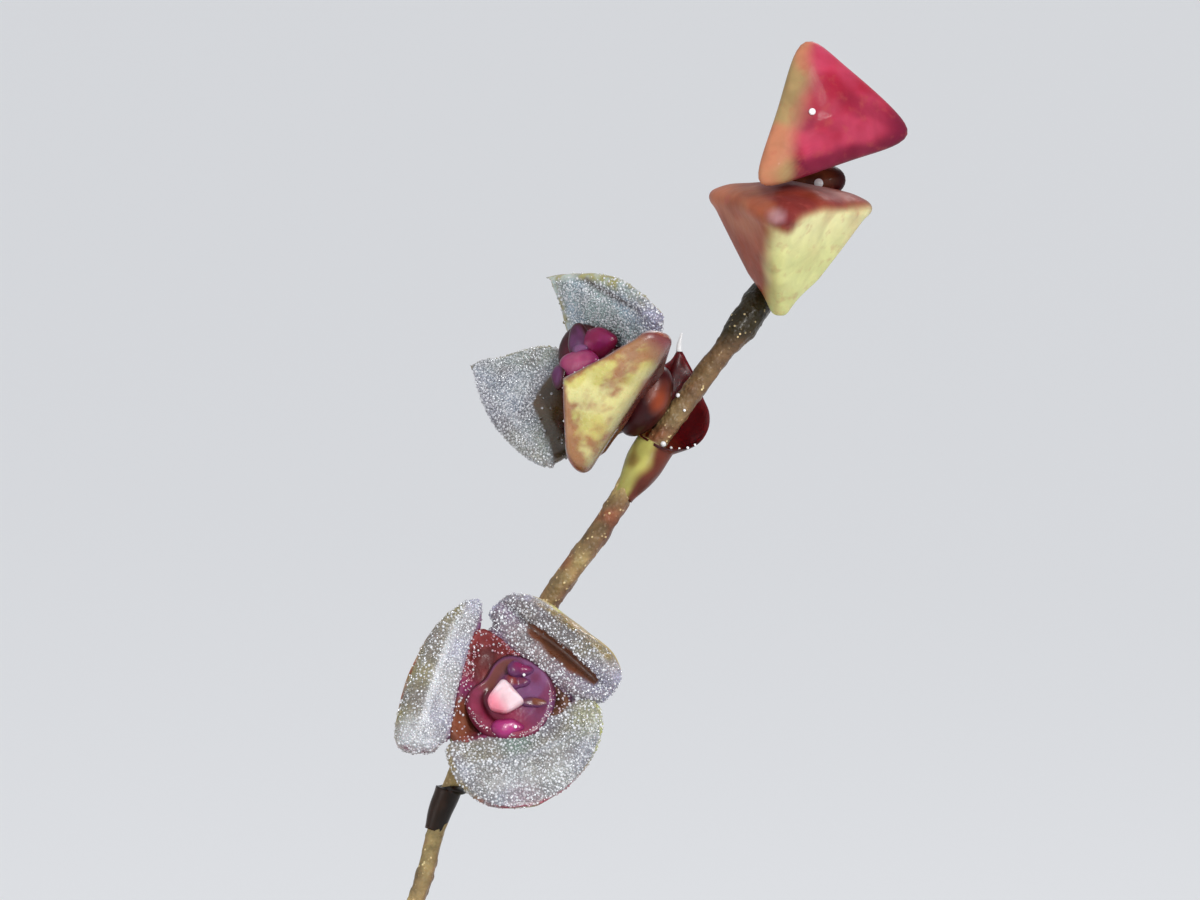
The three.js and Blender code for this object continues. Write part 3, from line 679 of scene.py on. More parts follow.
# The dyes of a cup: its outside, and its inside at the top, the right and the bottom left.
FRONT_WALLS = (OLIVE, mix(WINE, RUST, 0.4), BROWN, mix(RUST, BROWN, 0.5))
SIDE_WALLS = (MAROON, CRIMSON, CRIMSON, WINE)

# Where each sepal stands and bends is as in the solids. Its edges, counterclockwise and clockwise as its
# flower faces you, run from the cup's rim to its tip: aside, and outwards, as if it lay flat. Its dyes are
# those of its inner band, its outer band, its fold, its margins at its one side, its tip and its other
# side, its root in the cup and its back. A brown fold dye is partly the skin's own brown and partly painted
# shade in the crease, and a white one is a painted highlight along a raised fold. ridge lifts the fold, and
# a negative ridge sinks it; slant turns the fold; rolls swell the bands on either side of it. painted_shadow
# is the dye of a painted shadow on a facet at its root, where the near sepal's shadow falls. rim is how wide
# its margins' dyes are, and rim_frost is how frosted they are on the one side and on the other. cloud is how
# strong its grey clouds are. patches are soft stains: aside, outwards, reach, dye and share. outer_frost is
# how frosted it is beyond its fold, and glitter is how white its grains are made, partly for their own
# whitish tone and partly as painted sparkle.
PLAIN = dict(yaw=0, hug=0, slant=0, curl=0.05, rolls=(0.02, 0.05), ridge=0.04, thick=0.4, back=LIME, blush=0.6,
             painted_shadow=None, pointed=False, rim=0.14, rim_frost=(0.8, 0.8), fold_out=None, fold_span=(-1.5, 1.5),
             cloud=0.7, patches=(), outer_frost=1.0, glitter=1.0)
FRONT_SEPALS = [
    dict(PLAIN, turn=0, base=14, tip=52, to_crease=0.66, thick=0.46, ridge=-0.22, rolls=(0.1, 0.16),
         fold_span=(-0.6, 1.55), end=(0.3, 1.36),
         edges=([(-1.25, 0.1), (-1.5, 0.3), (-1.45, 0.7), (-1.15, 0.98), (-0.5, 1.22)],
                [(1.3, 0.05), (1.62, 0.15), (1.9, 0.5), (1.84, 1.0), (1.2, 1.32)]),
         # fold=BROWN: a trough partly in the skin's own brown and partly in painted shade.
         inner=mix(LILAC, MAUVE, 0.7), outer=mix(PEWTER, BROWN, 0.35), fold=BROWN,
         margins=(LILAC, STRAW, LILAC), throat=MAUVE, patches=[(1.6, 0.7, 0.8, LILAC, 0.8)]),
    dict(PLAIN, turn=119, base=10, tip=-42, yaw=5, hug=0.1, to_crease=0.74, fold_out=0.56, thick=0.44,
         ridge=0.1, rolls=(0.05, 0.1), end=(-0.1, 1.37),
         edges=([(-1.46, 0.0), (-1.8, 0.3), (-1.97, 0.75), (-1.85, 1.22), (-1.2, 1.34)],
                [(1.75, -0.12), (2.08, 0.1), (2.0, 0.5), (1.6, 0.88), (0.95, 1.2)]),
         # fold=WHITE: a painted highlight along the raised fold.
         inner=mix(LILAC, WHITE, 0.35), outer=mix(OLIVE, BROWN, 0.25), fold=WHITE,
         margins=(mix(RUST, MAUVE, 0.5), RUST, LILAC), throat=MAUVE, outer_frost=0.6, cloud=0.4,
         patches=[(-1.8, 0.7, 0.9, mix(SILVER, WHITE, 0.6), 0.9)]),
    dict(PLAIN, turn=241, base=2, tip=-12, to_crease=0.7, thick=0.42, curl=0.1, ridge=-0.04, hug=0.35,
         rolls=(-0.06, 0.14), end=(0.1, 1.86),
         edges=([(-1.5, -0.1), (-1.86, 0.18), (-2.0, 0.6), (-1.85, 1.1), (-1.3, 1.52)],
                [(1.45, -0.1), (1.62, 0.15), (1.68, 0.6), (1.6, 1.15), (1.25, 1.6)]),
         inner=PEWTER, outer=SILVER, fold=SILVER, margins=(LIME, ROSE, STRAW), throat=MAUVE, cloud=0.5,
         patches=[(0, 0.2, 0.7, MIST_GREEN, 0.8), (0.3, 1.8, 0.7, mix(ROSE, SILVER, 0.5), 0.5),
                  (-1.6, 0.5, 0.7, mix(LIME, SILVER, 0.5), 0.5)]),
]
SIDE_SEPALS = [
    dict(PLAIN, turn=-4, base=48, tip=30, yaw=9, slant=-0.15, to_crease=1.25, fold_out=1.42, ridge=-0.08,
         rim=0.55, pointed=True, end=(-2.0, 1.24),
         edges=([(-1.45, 0.0), (-1.75, 0.6)],
                [(1.5, 0.0), (1.75, 0.6), (1.9, 1.15), (1.4, 1.48), (0.7, 1.68), (0, 1.72), (-1.4, 1.45)]),
         # fold=BROWN: a crease line partly in the skin's own brown and partly in painted shade.
         inner=FROST_BLUE, outer=FROST_BLUE, fold=BROWN, margins=(OLIVE, mix(OLIVE, LIME, 0.3), LILAC),
         throat=WINE, rim_frost=(0.0, 1.2), cloud=0.35, patches=[(1.6, 1.2, 0.7, LILAC, 0.8)]),
    dict(PLAIN, turn=117, base=43, tip=-17, yaw=-30, to_crease=1.4, pointed=True, end=(2.19, 1.37),
         edges=([(-1.5, 0), (-1.85, 0.7), (-1.95, 1.46), (-1.37, 1.76), (-0.5, 1.9), (0.3, 1.92), (1, 1.79),
                 (1.64, 1.57)],
                [(1.5, 0.0), (1.88, 0.35), (2.18, 0.65), (2.28, 0.98)]),
         inner=mix(BLUE_SILVER, PEWTER, 0.3), outer=mix(SILVER, PEWTER, 0.3), fold=SILVER,
         margins=(PEWTER, SILVER, OLIVE), throat=WINE, painted_shadow=OLIVE_DARK, glitter=0.65, cloud=0.5),
    dict(PLAIN, turn=244, base=45, tip=132, yaw=-4, curl=0, to_crease=1.07, pointed=True, end=(0.24, 2.28),
         edges=([(-1.5, 0.0), (-1.78, 0.5), (-1.9, 0.95), (-1.8, 1.2), (-1.34, 1.45), (-0.73, 1.73)],
                [(1.5, 0.0), (1.74, 0.55), (1.83, 0.97), (1.74, 1.17), (1.18, 1.62)]),
         inner=SILVER, outer=SILVER, fold=LIME, margins=(RUST, RUST, RUST), throat=WINE, back=SULPHUR,
         blush=1.0, rim_frost=(0, 0)),
]
# The middle of each flower's rim, the way that it faces, and the way to its first sepal; and its stalk's
# points.
FLOWERS = [
    dict(name="flower_front", rim=(-2.25, -2.2, -5.5), axis=(0.03, -0.92, 0.39), first=(0.66, 0, 0.8),
         stalk=[(-2.78, -0.64, -6.42), (-2.6, -0.8, -6.25)], stalk_radii=(0.2, 0.42), stalk_dye=OLIVE,
         walls=FRONT_WALLS, lumps=FRONT_LUMPS, ovary=False, sepals=FRONT_SEPALS),
    dict(name="flower_side", rim=(-0.08, -0.2, 1.55), axis=(-0.62, -0.67, 0.39), first=(0.3, 0.26, 0.92),
         stalk=[(1.62, 0.3, 0.55), (1.3, 0.5, 0.85)], stalk_radii=(0.28, 0.6), stalk_dye=RUST,
         walls=SIDE_WALLS, lumps=SIDE_LUMPS, ovary=True, sepals=SIDE_SEPALS),
]
CUP_SLOPE = atan2(CUP_HEIGHT, CUP_RIM - CUP_THROAT)
SEPAL_ROOT_HALF = 1.3
EDGE_STEPS = 12
# How far round the margin the inner face's dyes and grains reach, as the sine of the turn.
RIM_TURN = 0.2


class Sepal:
    """One sepal in its flower's frame, cut flat from just inside the cup's rim to its tip, and then bent."""

    STEPS = 120
    ROW = 0.004

    def __init__(self, facts):
        self.facts = facts
        left, right = ([(aside, 0, out) for aside, out in edge] for edge in facts["edges"])
        left = [(-SEPAL_ROOT_HALF, 0, -SEPAL_ROOT), *left]
        right = [(SEPAL_ROOT_HALF, 0, -SEPAL_ROOT), *right]
        end = (facts["end"][0], 0, facts["end"][1])
        if facts["pointed"]:
            self.edges = [Line([*left, end], EDGE_STEPS), Line([*right, end], EDGE_STEPS)]
        else:
            spots = Line([*left, end, *right[::-1]], EDGE_STEPS).spots
            middle = EDGE_STEPS * len(left)
            self.edges = [Line(spots[:middle + 1], 1), Line(spots[:middle - 1:-1], 1)]
        self.far = max(spot.z for edge in self.edges for spot in edge.spots) + 0.01
        self.end = self.edges[0].at(1)[0]
        self.bent = []
        r = CUP_RIM - SEPAL_ROOT * cos(CUP_SLOPE)
        z = CUP_HEIGHT - SEPAL_ROOT * sin(CUP_SLOPE)
        self.step = (self.far + SEPAL_ROOT) / self.STEPS
        for index in range(self.STEPS + 1):
            out = index * self.step - SEPAL_ROOT
            self.bent.append((r, z, self.lean(out)))
            lean = self.lean(out + self.step / 2)
            r += cos(lean) * self.step
            z += sin(lean) * self.step

    def lean(self, out):
        facts = self.facts
        lean = mix(CUP_SLOPE, radians(facts["base"]), smooth(-0.3, 0.3, out))
        bend = smooth(facts["to_crease"] - 0.25, facts["to_crease"] + 0.25, out)
        return mix(lean, radians(facts["tip"]), bend)

    def flat(self, across, share):
        """Aside and outwards on the flat sepal, and how far the row's ends and the tip lie from there."""
        low, high = (edge.at(share)[0] for edge in self.edges)
        spot = low.lerp(high, (across + 1) / 2)
        to_edge = (high - low).length / 2 * (1 - abs(across))
        to_end = (low.lerp(high, 0.5) - self.end).length
        return spot.x, spot.z, to_edge, to_end

    def relief(self, aside, out, full):
        """How far the inner face stands up: its fold, and a soft roll on either side of it."""
        facts = self.facts
        crease = self.fold_at(aside)
        inner_roll, outer_roll = facts["rolls"]
        before = min(1.0, max(0.0, out / crease))
        beyond = min(1.0, max(0.0, (out - crease) / (self.far - crease)))
        spread = 0.15 if facts["ridge"] > 0 else 0.19
        fold = facts["ridge"] * exp(-((out - crease) / spread) ** 2) * self.fold_width(aside)
        return fold + full * (inner_roll * sin(pi * before) + outer_roll * sin(pi * beyond ** 0.8))

    def fold_at(self, aside):
        return (self.facts["fold_out"] or self.facts["to_crease"]) + self.facts["slant"] * aside

    def fold_width(self, aside):
        """The fold is deepest in its middle and dies away before the margins."""
        low, high = self.facts["fold_span"]
        along = (2 * aside - low - high) / (high - low)
        return sqrt(max(0.0, 1 - along * along))

    def point(self, turn, share):
        """A point of the sepal's skin, and its aside, out and distance from the margin. turn goes round it:
        its inner face from 0 to half a turn, then its back."""
        across = cos(turn)
        aside, out, to_edge, to_end = self.flat(across, share)
        thick = self.facts["thick"]
        near = min(1.0, 2 * to_end / thick)
        thick *= sqrt(1 - (1 - near) ** 2)
        near = min(1.0, 2 * to_edge / max(thick, 1e-6))
        face = copysign(sqrt(1 - (1 - near) ** 2), sin(turn))
        inset = min(to_edge, to_end)
        local = self.bend(aside, out, thick * (0.5 - 0.5 * face), across, smooth(0.0, 0.5, inset))
        return local, aside, out, inset

    def bend(self, aside, out, depth=0.0, across=0.0, full=1.0):
        """A point of the flat sepal bent to its shape, at a depth under the inner face."""
        facts = self.facts
        place = min(self.STEPS - 1e-6, max(0.0, (out + SEPAL_ROOT) / self.step))
        low = int(place)
        part = place - low
        r, z, lean = (mix(a, b, part) for a, b in zip(self.bent[low], self.bent[low + 1]))
        loose = smooth(-0.1, 0.5, out)
        swing = radians(facts["yaw"]) * smooth(-0.1, 0.7, out)
        turn = radians(facts["turn"])
        away = polar(1, turn)
        side = Vector((sin(turn), -cos(turn), 0))
        inward = Vector((0, 0, cos(lean))) - away * sin(lean)
        beyond_rim = r - CUP_RIM
        return (
            Vector((0, 0, z + loose * facts["curl"] * across * across))
            + away * (CUP_RIM + beyond_rim * cos(swing) - aside * sin(swing))
            - away * facts["hug"] * (aside / 1.8) ** 2
            + side * (aside * cos(swing) + beyond_rim * sin(swing))
            + inward * (self.relief(aside, out, full) * smooth(0.4, 0.0, depth) - depth)
        )

    def add_to(self, mesh, stand, columns=112, rows=72):
        """The sepal as a closed flat body with round margins."""
        def place(turn, along, vert):
            local, aside, out, inset = self.point(turn, along)
            point = stand @ local
            dye(mesh, vert, *self.dye(aside, out, inset, sin(turn) > -RIM_TURN, point))
            return point + Vector((0, 0, 0.05)) * (rough(point, 2.1) - 0.5)

        sheet(mesh, columns, rows, place)

    def dye(self, aside, out, inset, inner, point):
        """The colour and the frost at a place on the inner or the outer face."""
        facts = self.facts
        fold = self.fold_at(aside)
        mottle = rough(point, 1.5, 3.0)
        edge = smooth(facts["rim"], 0.2 * facts["rim"], inset)
        if not inner:
            return self.back_dye(aside, out - fold, inset, mottle, point), 0.0
        colour = stained(
            mix(facts["inner"], facts["outer"], smooth(-0.1, 0.1, out - fold)),
            (mix(CREAM, LILAC, patchy(point, 1.1, 0.3, 0.7, 12.0)), 0.22),
            (PEWTER, facts["cloud"] * smooth(0.5, 0.7, mottle)),
        )
        for at_aside, at_out, reach, stain, share in facts["patches"]:
            off = hypot(aside - at_aside, out - at_out) + 0.4 * (mottle - 0.5)
            colour = mix(colour, stain, share * smooth(reach, 0.2 * reach, off))
        width = self.fold_width(aside)
        # A deeply sunk fold is a bare trough in the fold dye and rust: partly the skin's own brown and partly
        # painted shade in the crease.
        if facts["ridge"] < -0.1:
            off = abs(out - fold) + 0.12 * (rough(point, 2.6, 2.0) - 0.5)
            bare = smooth(0.27 * width + 0.03, 0.17 * width, off) * smooth(0, 0.2, width)
            colour = mix(colour, mix(facts["fold"], RUST, 0.4 * mottle), bare)
        else:
            bare = 0.0
            # Otherwise a line of the fold dye runs along the fold: a white one is a painted highlight on the
            # raised ridge, a brown one partly brown skin and partly painted shade in the crease.
            colour = mix(colour, facts["fold"], 0.9 * width * exp(-((out - fold) / 0.09) ** 2))
        one, tip, other = facts["margins"]
        margin = mix(mix(one, other, smooth(-0.8, 0.8, aside)), tip, smooth(0.72, 0.92, out / self.far))
        colour = mix(colour, margin, edge * mix(0.35, 1.0, patchy(point, 4.0, 0.4, 0.6, 8.0)))
        # Painted shadow: a dark olive and brown patch at the root, bare of grains, where the near sepal's
        # shadow falls.
        if facts["painted_shadow"]:
            shaded = smooth(0.04, -0.04, out - 0.82 + 0.2 * aside + 0.85 * max(0.0, aside - 0.15))
            colour = mix(colour, mix(facts["painted_shadow"], BROWN, 0.5 * mottle), shaded)
            bare = shaded
        throat = smooth(0.14, -0.1, out)
        colour = mix(colour, facts["throat"], throat)
        rim_frost = mix(*facts["rim_frost"], smooth(-0.6, 1.2, aside))
        beyond = mix(1.0, facts["outer_frost"], smooth(0.05, 0.3, out - fold))
        return colour, mix(1.0, min(1.0, rim_frost), edge) * beyond * (1 - 0.8 * throat) * (1 - bare)

    def back_dye(self, aside, beyond, inset, mottle, point):
        """The back is mottled beyond its fold, and flushed below it and at its margins."""
        facts = self.facts
        full = facts["blush"]
        cloud = 0.5 * rough(point, 1.6, 6.0) + 0.3 * rough(point, 4.1, 2.0) + 0.2 * rough(point, 9.0)
        reach = 0.2 * smooth(0.45, 0.0, inset) + 0.14 * smooth(0.3, 1.8, abs(aside))
        return stained(
            facts["back"],
            (CREAM, 0.4 * smooth(0.46, 0.6, 0.6 * mottle + 0.4 * rough(point, 3.7))),
            (RUST, 0.8 * full * smooth(mix(0.56, 0.46, full), 0.66, cloud + reach)),
            (mix(RUST, MAROON, 0.5 + 0.5 * mottle), smooth(0.1, -0.25, beyond)),
            (WINE, full * max(0.8 * smooth(1.35, 1.75, -aside), 0.7 * smooth(0.1, 0.0, inset))),
        )

    def beads(self, stand, spacing, generator):
        """Glassy grains strewn over the inner face."""
        spots = []
        share = 0.0
        row = 0.0
        run = 0.0
        before = None
        while share < 0.995:
            low, high = (edge.at(share)[0] for edge in self.edges)
            middle = low.lerp(high, 0.5)
            if before:
                run += (middle - before).length
            before = middle
            share += self.ROW
            if run < spacing:
                continue
            count = max(1, int((high - low).length / spacing))
            over = [generator.uniform(-RIM_TURN, 0.1) for edge in range(6)]
            turns = [acos(-1 + 2 * (index + generator.random()) / count) for index in range(count)]
            for turn in (*turns, *over[:3], *(pi - turn for turn in over[3:])):
                local, aside, out, inset = self.point(turn, mix(row, share, generator.random()))
                spot = stand @ local
                size = generator.uniform(0.018, 0.034) + 0.014 * generator.random() ** 3
                bright = generator.random() * mix(0.6, 1.35, rough(spot, 3.4, 5.0))
                tint, frost = self.dye(aside, out, inset, True, spot)
                if generator.random() > 0.06 + 0.94 * frost:
                    continue
                # Grains whitened at random in clumps: partly their own whitish tone and partly painted
                # sparkle.
                tint = mix(tint, WHITE, self.facts["glitter"] * smooth(0.1, 0.75, bright))
                spots.append((spot, size, tint))
            run = 0.0
            row = share
        return spots


SIDES = [radians(side) for side in (60, 180, 300)]
CUP_SHARPNESS = 3.6


def three_sided(turn, sharpness):
    """How much further a three-cornered ring with round corners reaches, with a corner at no turn."""
    total = 0.0
    for side in SIDES:
        total += max(0.0, cos(turn - side)) ** sharpness
    return total ** (-1 / sharpness)


def cup_reach(turn):
    """The cup's corners lie between its sepals."""
    return three_sided(turn - pi / 3, CUP_SHARPNESS)


# The cup's rings, from its foot up the outside, over its rim and in over the flesh that fills it: radius at
# the middle of a side, and height. The ring of its rim is counted from its foot.
CUP_RINGS = [
    (0.0, -0.42), (0.26, -0.36), (0.46, -0.16), (0.62, 0.15), (0.8, 0.6), (0.98, 1.05), (1.0, 1.24),
    (0.98, 1.35), (0.93, 1.39), (0.87, 1.37), (0.8, 1.3), (0.66, 1.2), (0.5, 1.12), (0.3, 1.1), (0.0, 1.08),
]
CUP_RIM_RING = 8


def on_rings(rings, along):
    """The two numbers of a row of rings at a share of the way along it."""
    at = along * (len(rings) - 1)
    low = min(len(rings) - 2, int(at))
    return (mix(a, b, at - low) for a, b in zip(rings[low], rings[low + 1]))


def add_cup(mesh, stand, facing, walls, columns=84, rows=54):
    """walls are the dyes of the outside, and of the inside at its top, right and bottom left corners."""
    outside, top, right, left = walls
    to_viewer = facing.inverted()

    def place(turn, along, vert):
        r, z = on_rings(CUP_RINGS, along)
        r *= mix(1.0, cup_reach(turn), smooth(-0.3, 1.1, z))
        point = stand @ polar(r, turn, z)
        bumps = 0.1 * (rough(point, 1.8, 3.0) - 0.5) + 0.07 * (rough(point, 4.6, 1.0) - 0.5)
        point += stand.to_3x3() @ Vector((0, 0, bumps))
        if along * (len(CUP_RINGS) - 1) < CUP_RIM_RING - 1:
            dye(mesh, vert, mix(outside, RUST, 0.8 * patchy(point, 1.4, 0.45, 0.7, 5.0)))
            return point
        seen = to_viewer @ point
        whole = max(0.3, hypot(seen.x, seen.y))
        dye(mesh, vert, stained(
            mix(PURPLE, mix(ROSE, WINE, 0.4), rough(point, 1.4, 7.0)),
            (top, smooth(0.2, 0.8, seen.y / whole)),
            (right, smooth(0.5, 0.95, seen.x / whole)),
            (left, smooth(0.82, 0.97, (-0.83 * seen.x - 0.55 * seen.y) / whole)),
            (MAROON, 0.5 * patchy(point, 2.4, 0.5, 0.75, 9.0)),
        ))
        return point

    sheet(mesh, columns, rows, place)


# The fleshy disc's rings: radius and height, from its middle over its edge and back underneath.
DISC_RINGS = [
    (0.0, 1.4), (0.3, 1.4), (0.52, 1.41), (0.68, 1.43), (0.82, 1.46), (0.93, 1.47), (1.01, 1.44),
    (1.06, 1.36), (1.02, 1.24), (0.7, 1.15), (0.3, 1.1), (0.0, 1.1),
]
DISC_AT = Vector((0.19, -0.12, 0))
DISC_DENT = radians(142)


def disc_dye(r, turn, point, raised):
    """Purple flesh, rosy on its lower left, with a dark crescent of painted shadow on the left round the cap,
    an olive crescent above, and a dark edge that is partly a dark rim and partly painted shade.
    """
    lower_left = smooth(-0.5, 0.7, -cos(turn - 0.9))
    # The dark crescent left of the cap is a painted shadow.
    painted_shadow_crescent = exp(-((r - 0.64) / 0.09) ** 2) * smooth(0.3, 0.8, -cos(turn - 0.35))
    upper_left = smooth(0.6, 0.95, cos(turn - 2.1)) * smooth(0.45, 0.7, r) * smooth(0.98, 0.86, r)
    # The dark edge, stronger on the upper side: partly a dark rim and partly painted shade.
    line = smooth(0.92, 1.0, r) * raised * mix(0.3, 1.0, smooth(-0.2, 0.5, sin(turn)))
    return stained(
        mix(PURPLE, MAUVE, 0.5 * rough(point, 1.7) + 0.5 * smooth(0.2, 0.8, cos(turn - 0.3))),
        (mix(ROSE, WINE, 0.6), 0.8 * lower_left),
        (WINE, 0.6 * patchy(point, 2.6, 0.45, 0.7, 4.0)),
        (MAROON, 0.9 * painted_shadow_crescent),
        (mix(OLIVE_DARK, RUST, 0.5), 0.8 * upper_left),
        (MAROON, 0.9 * line),
    )


def add_disc(mesh, facing, detail=1.0):
    def place(turn, along, vert):
        r, z = on_rings(DISC_RINGS, along)
        off = atan2(sin(turn - DISC_DENT), cos(turn - DISC_DENT))
        out = r * (1 - 0.27 * exp(-(off / 0.55) ** 2) + 0.02 * sin(5 * turn))
        groove = 0.05 * exp(-((r - 0.6) / 0.08) ** 2) * smooth(0.4, 0.9, -cos(turn - 0.4))
        groove += 0.13 * exp(-(off / 0.6) ** 2) * smooth(0.4, 0.9, r)
        point = facing @ (polar(out, turn, z - groove) + DISC_AT)
        point += facing.to_3x3() @ Vector((0, 0, 0.1 * (rough(point, 1.6, 6.0) - 0.5)))
        dye(mesh, vert, disc_dye(r, turn, point, along < 0.7))
        return point

    sheet(mesh, int(84 * detail), int(58 * detail), place)


def petal(local):
    """A ball made narrower at one end and cupped."""
    return Vector((local.x, local.y * (1 - 0.3 * local.x), local.z + 0.3 * local.x * local.x))


def add_lumps(mesh, at_frame, lumps, detail=1.0):
    for facts in lumps:
        stand = at_frame @ standing(facts["at"], facts["way"], facts.get("along", (1, 0, 0)))

        def colour(local, point, dyes=facts["dyes"]):
            edge = smooth(0.45, 0.95, hypot(local.x, local.y))
            return mix(*dyes, max(edge, 0.6 * patchy(point, 3.0, 0.48, 0.7)))

        lump(mesh, stand, facts["halves"], colour, 0.16, int(36 * detail), int(24 * detail), petal)


# The column's cap: its facets' headings round it and their distances, and its rings' sizes and heights.
CAP_FACETS = [(39, 0.26), (-58, 0.34), (-104, 0.38), (194, 0.43), (144, 0.33), (80, 0.41)]
CAP_RINGS = [
    (0.0, 0.36), (0.12, 0.355), (0.5, 0.25), (0.85, 0.12), (0.97, 0.04), (1.0, -0.06), (0.96, -0.2),
    (0.7, -0.32), (0.0, -0.34),
]
CAP_AT = Vector((0.1, -0.19, 1.6))
CAP_PEAK = Vector((0.1, 0.02, 0))
CAP_SHARPNESS = 11


def add_cap(mesh, facing):
    """The pale cap of the column: a few soft facets that run to a blunt nose on the right, with light and
    shade painted on.
    """
    def place(turn, along, vert):
        size, z = on_rings(CAP_RINGS, along)
        total = sum(max(0.0, cos(turn - radians(to)) / far) ** CAP_SHARPNESS for to, far in CAP_FACETS)
        local = polar(size * total ** (-1 / CAP_SHARPNESS), turn, z) + CAP_PEAK * max(0.0, 1 - size)
        # Painted light and shade: palest towards the upper right, pinker towards the lower left, and rose
        # underneath as painted shade.
        colour = mix(PINK, PALE_PINK, smooth(-0.3, -0.02, local.x * 0.7 + local.y * 0.5))
        dye(mesh, vert, mix(colour, ROSE, smooth(-0.02, -0.25, z)))
        return facing @ (CAP_AT + local)

    sheet(mesh, 60, 40, place)


def ovary_dye(local, point):
    """A dark red swelling with an orange glow painted at one spot where it is thin: painted light shining
    through it.
    """
    seen = view.inverted() @ point
    off = hypot(seen.x - 1.34, 0.8 * (seen.z - 1.22)) + 0.2 * (rough(point, 2.4) - 0.5)
    return mix(mix(AMBER, RUST, 0.5), MAROON, smooth(0.08, 0.4, off))


# Grains: how close they lie on the sepals, how many are tried on a cup and a disc, and how far above them.
GRAIN_SPACING = 0.062
CUP_GRAINS = 560
DISC_GRAINS = 120
ABOVE = 3


def build_flower(flower, generator):
    """A flower's sepals, cup, disc, cap and stalk, and the glassy grains on its sepals, cup and disc."""
    name = flower["name"]
    axis = Vector(flower["axis"]).normalized()
    foot = Vector(flower["rim"]) - axis * CUP_HEIGHT
    stand = view @ standing(foot, axis, flower["first"])
    facing = view @ standing(foot, axis, Vector((0, 0, 1)).cross(axis))
    inward = view_turn @ -axis
    sepals, cup, centre, cap, stalk = (start_mesh() for piece in range(5))
    beads = []
    for facts in flower["sepals"]:
        sepal = Sepal(facts)
        sepal.add_to(sepals, stand)
        beads += sepal.beads(stand, GRAIN_SPACING, generator)
    finish_piece(sepals, name + "_three_sepals", SEPAL, "sepal", name + "_sepals")
    add_cup(cup, stand, facing, flower["walls"])
    tree = BVHTree.FromBMesh(cup)
    for index in range(CUP_GRAINS):
        turn = generator.uniform(0, 2 * pi)
        r = generator.uniform(0.7, 0.97) * cup_reach(turn)
        spot = tree.ray_cast(stand @ polar(r, turn, ABOVE), inward)[0]
        bright = generator.random()
        if (facing.inverted() @ spot).y < 0.3 and bright < 0.6:
            continue
        # Grains whitened at random: partly their own whitish tone and partly painted sparkle.
        beads.append((spot, generator.uniform(0.014, 0.036), mix(ROSE, WHITE, 0.1 + 0.9 * bright ** 2)))
    finish_piece(cup, name + "_cup", CUP, "sepal", name + "_sepals")
    add_disc(centre, facing)
    tree = BVHTree.FromBMesh(centre)
    for index in range(DISC_GRAINS):
        turn = generator.uniform(1.0, 2.05) * pi
        r = generator.uniform(0.9, 1.02)
        spot = tree.ray_cast(facing @ (polar(r, turn, ABOVE) + DISC_AT), inward)[0]
        if spot:
            # Grains whitened at random: partly their own whitish tone and partly painted sparkle.
            beads.append((spot, generator.uniform(0.012, 0.026), mix(ROSE, WHITE, generator.random())))
    finish_piece(bead_mesh(beads), name + "_grains", BEAD, "sepal", name + "_sepals")
    on_disc = flower["lumps"] is FRONT_LUMPS
    middle = view @ Matrix.Translation(Vector(flower["rim"]))
    add_lumps(centre, facing if on_disc else middle, flower["lumps"])
    centre_trees.append(BVHTree.FromBMesh(centre))
    finish_piece(centre, name + "_disc_and_petals", CENTRE, "flower_centre", name + "_centre")
    add_cap(cap, facing)
    finish_piece(cap, name + "_column_cap", CENTRE, "flower_centre", name + "_centre")
    line = Line([view @ Vector(point) for point in (*flower["stalk"], foot + axis * 0.15)])

    def radius(share, turn):
        return mix(*flower["stalk_radii"], share) * (1 + 0.05 * cos(6 * turn))

    def colour(share, point):
        return mix(flower["stalk_dye"], MAROON, 0.7 * rough(point, 1.8, 2.0))

    tube(stalk, line, 30, 32, radius, colour)
    if flower["ovary"]:
        stand = view @ standing((1.1, -0.3, 1.2), (-0.1, -1, 0), (0.5, 0, 0.86))
        lump(stalk, stand, (0.88, 0.5, 0.62), ovary_dye, 0.3, 60, 40)
    finish_piece(stalk, name + "_ovary", BRACT, "sepal", name + "_sepals")


centre_trees = []
flower_random = random.Random(11)
for flower in FLOWERS:
    build_flower(flower, flower_random)


# Buds

# The heights of a closed bud's shoulders and of the middle of its crown, and its outline from its foot to
# there: distance from its axis to the middle of a side, and height.
BUD_HEIGHT = 2.55
BUD_TOP = 3.16
BUD_OUTLINE = Line([
    (0.0, 0, -0.02), (0.13, 0, 0.0), (0.22, 0, 0.14), (0.46, 0, 0.72), (0.72, 0, 1.36), (0.95, 0, 1.94),
    (1.1, 0, 2.32), (1.17, 0, 2.47), (1.19, 0, 2.6), (1.15, 0, 2.72), (1.0, 0, 2.85), (0.76, 0, 2.97),
    (0.4, 0, 3.1), (0.0, 0, BUD_TOP),
], 12)


def add_bud(mesh, stand, colour, size=1.0, tall=1.0, skew=0.0, sharpness=6.0, columns=96, rows=80):
    """A closed bud: tall stretches its height, skew makes it lopsided, sharpness is its corners'."""
    def place(turn, along, vert):
        spot = BUD_OUTLINE.at(along)[0]
        inner, z = spot.x, spot.z
        reach = mix(1.0, three_sided(turn, sharpness), smooth(0.0, 0.9, z) * smooth(BUD_TOP, 2.9, z))
        sag = 0.05 * cos(3 * turn) * smooth(0.4, 1.1, inner) * smooth(2.2, 2.6, z)
        x, y, z = polar(inner * reach, turn, z - sag)
        local = Vector((x + skew * y, y + skew * x, z))
        point = stand @ (Vector((local.x, local.y, local.z * tall)) * size)
        point += (point - stand.translation).normalized() * 0.1 * size * (rough(point, 0.9) - 0.5)
        dye(mesh, vert, colour(local, point))
        return point

    sheet(mesh, columns, rows, place)


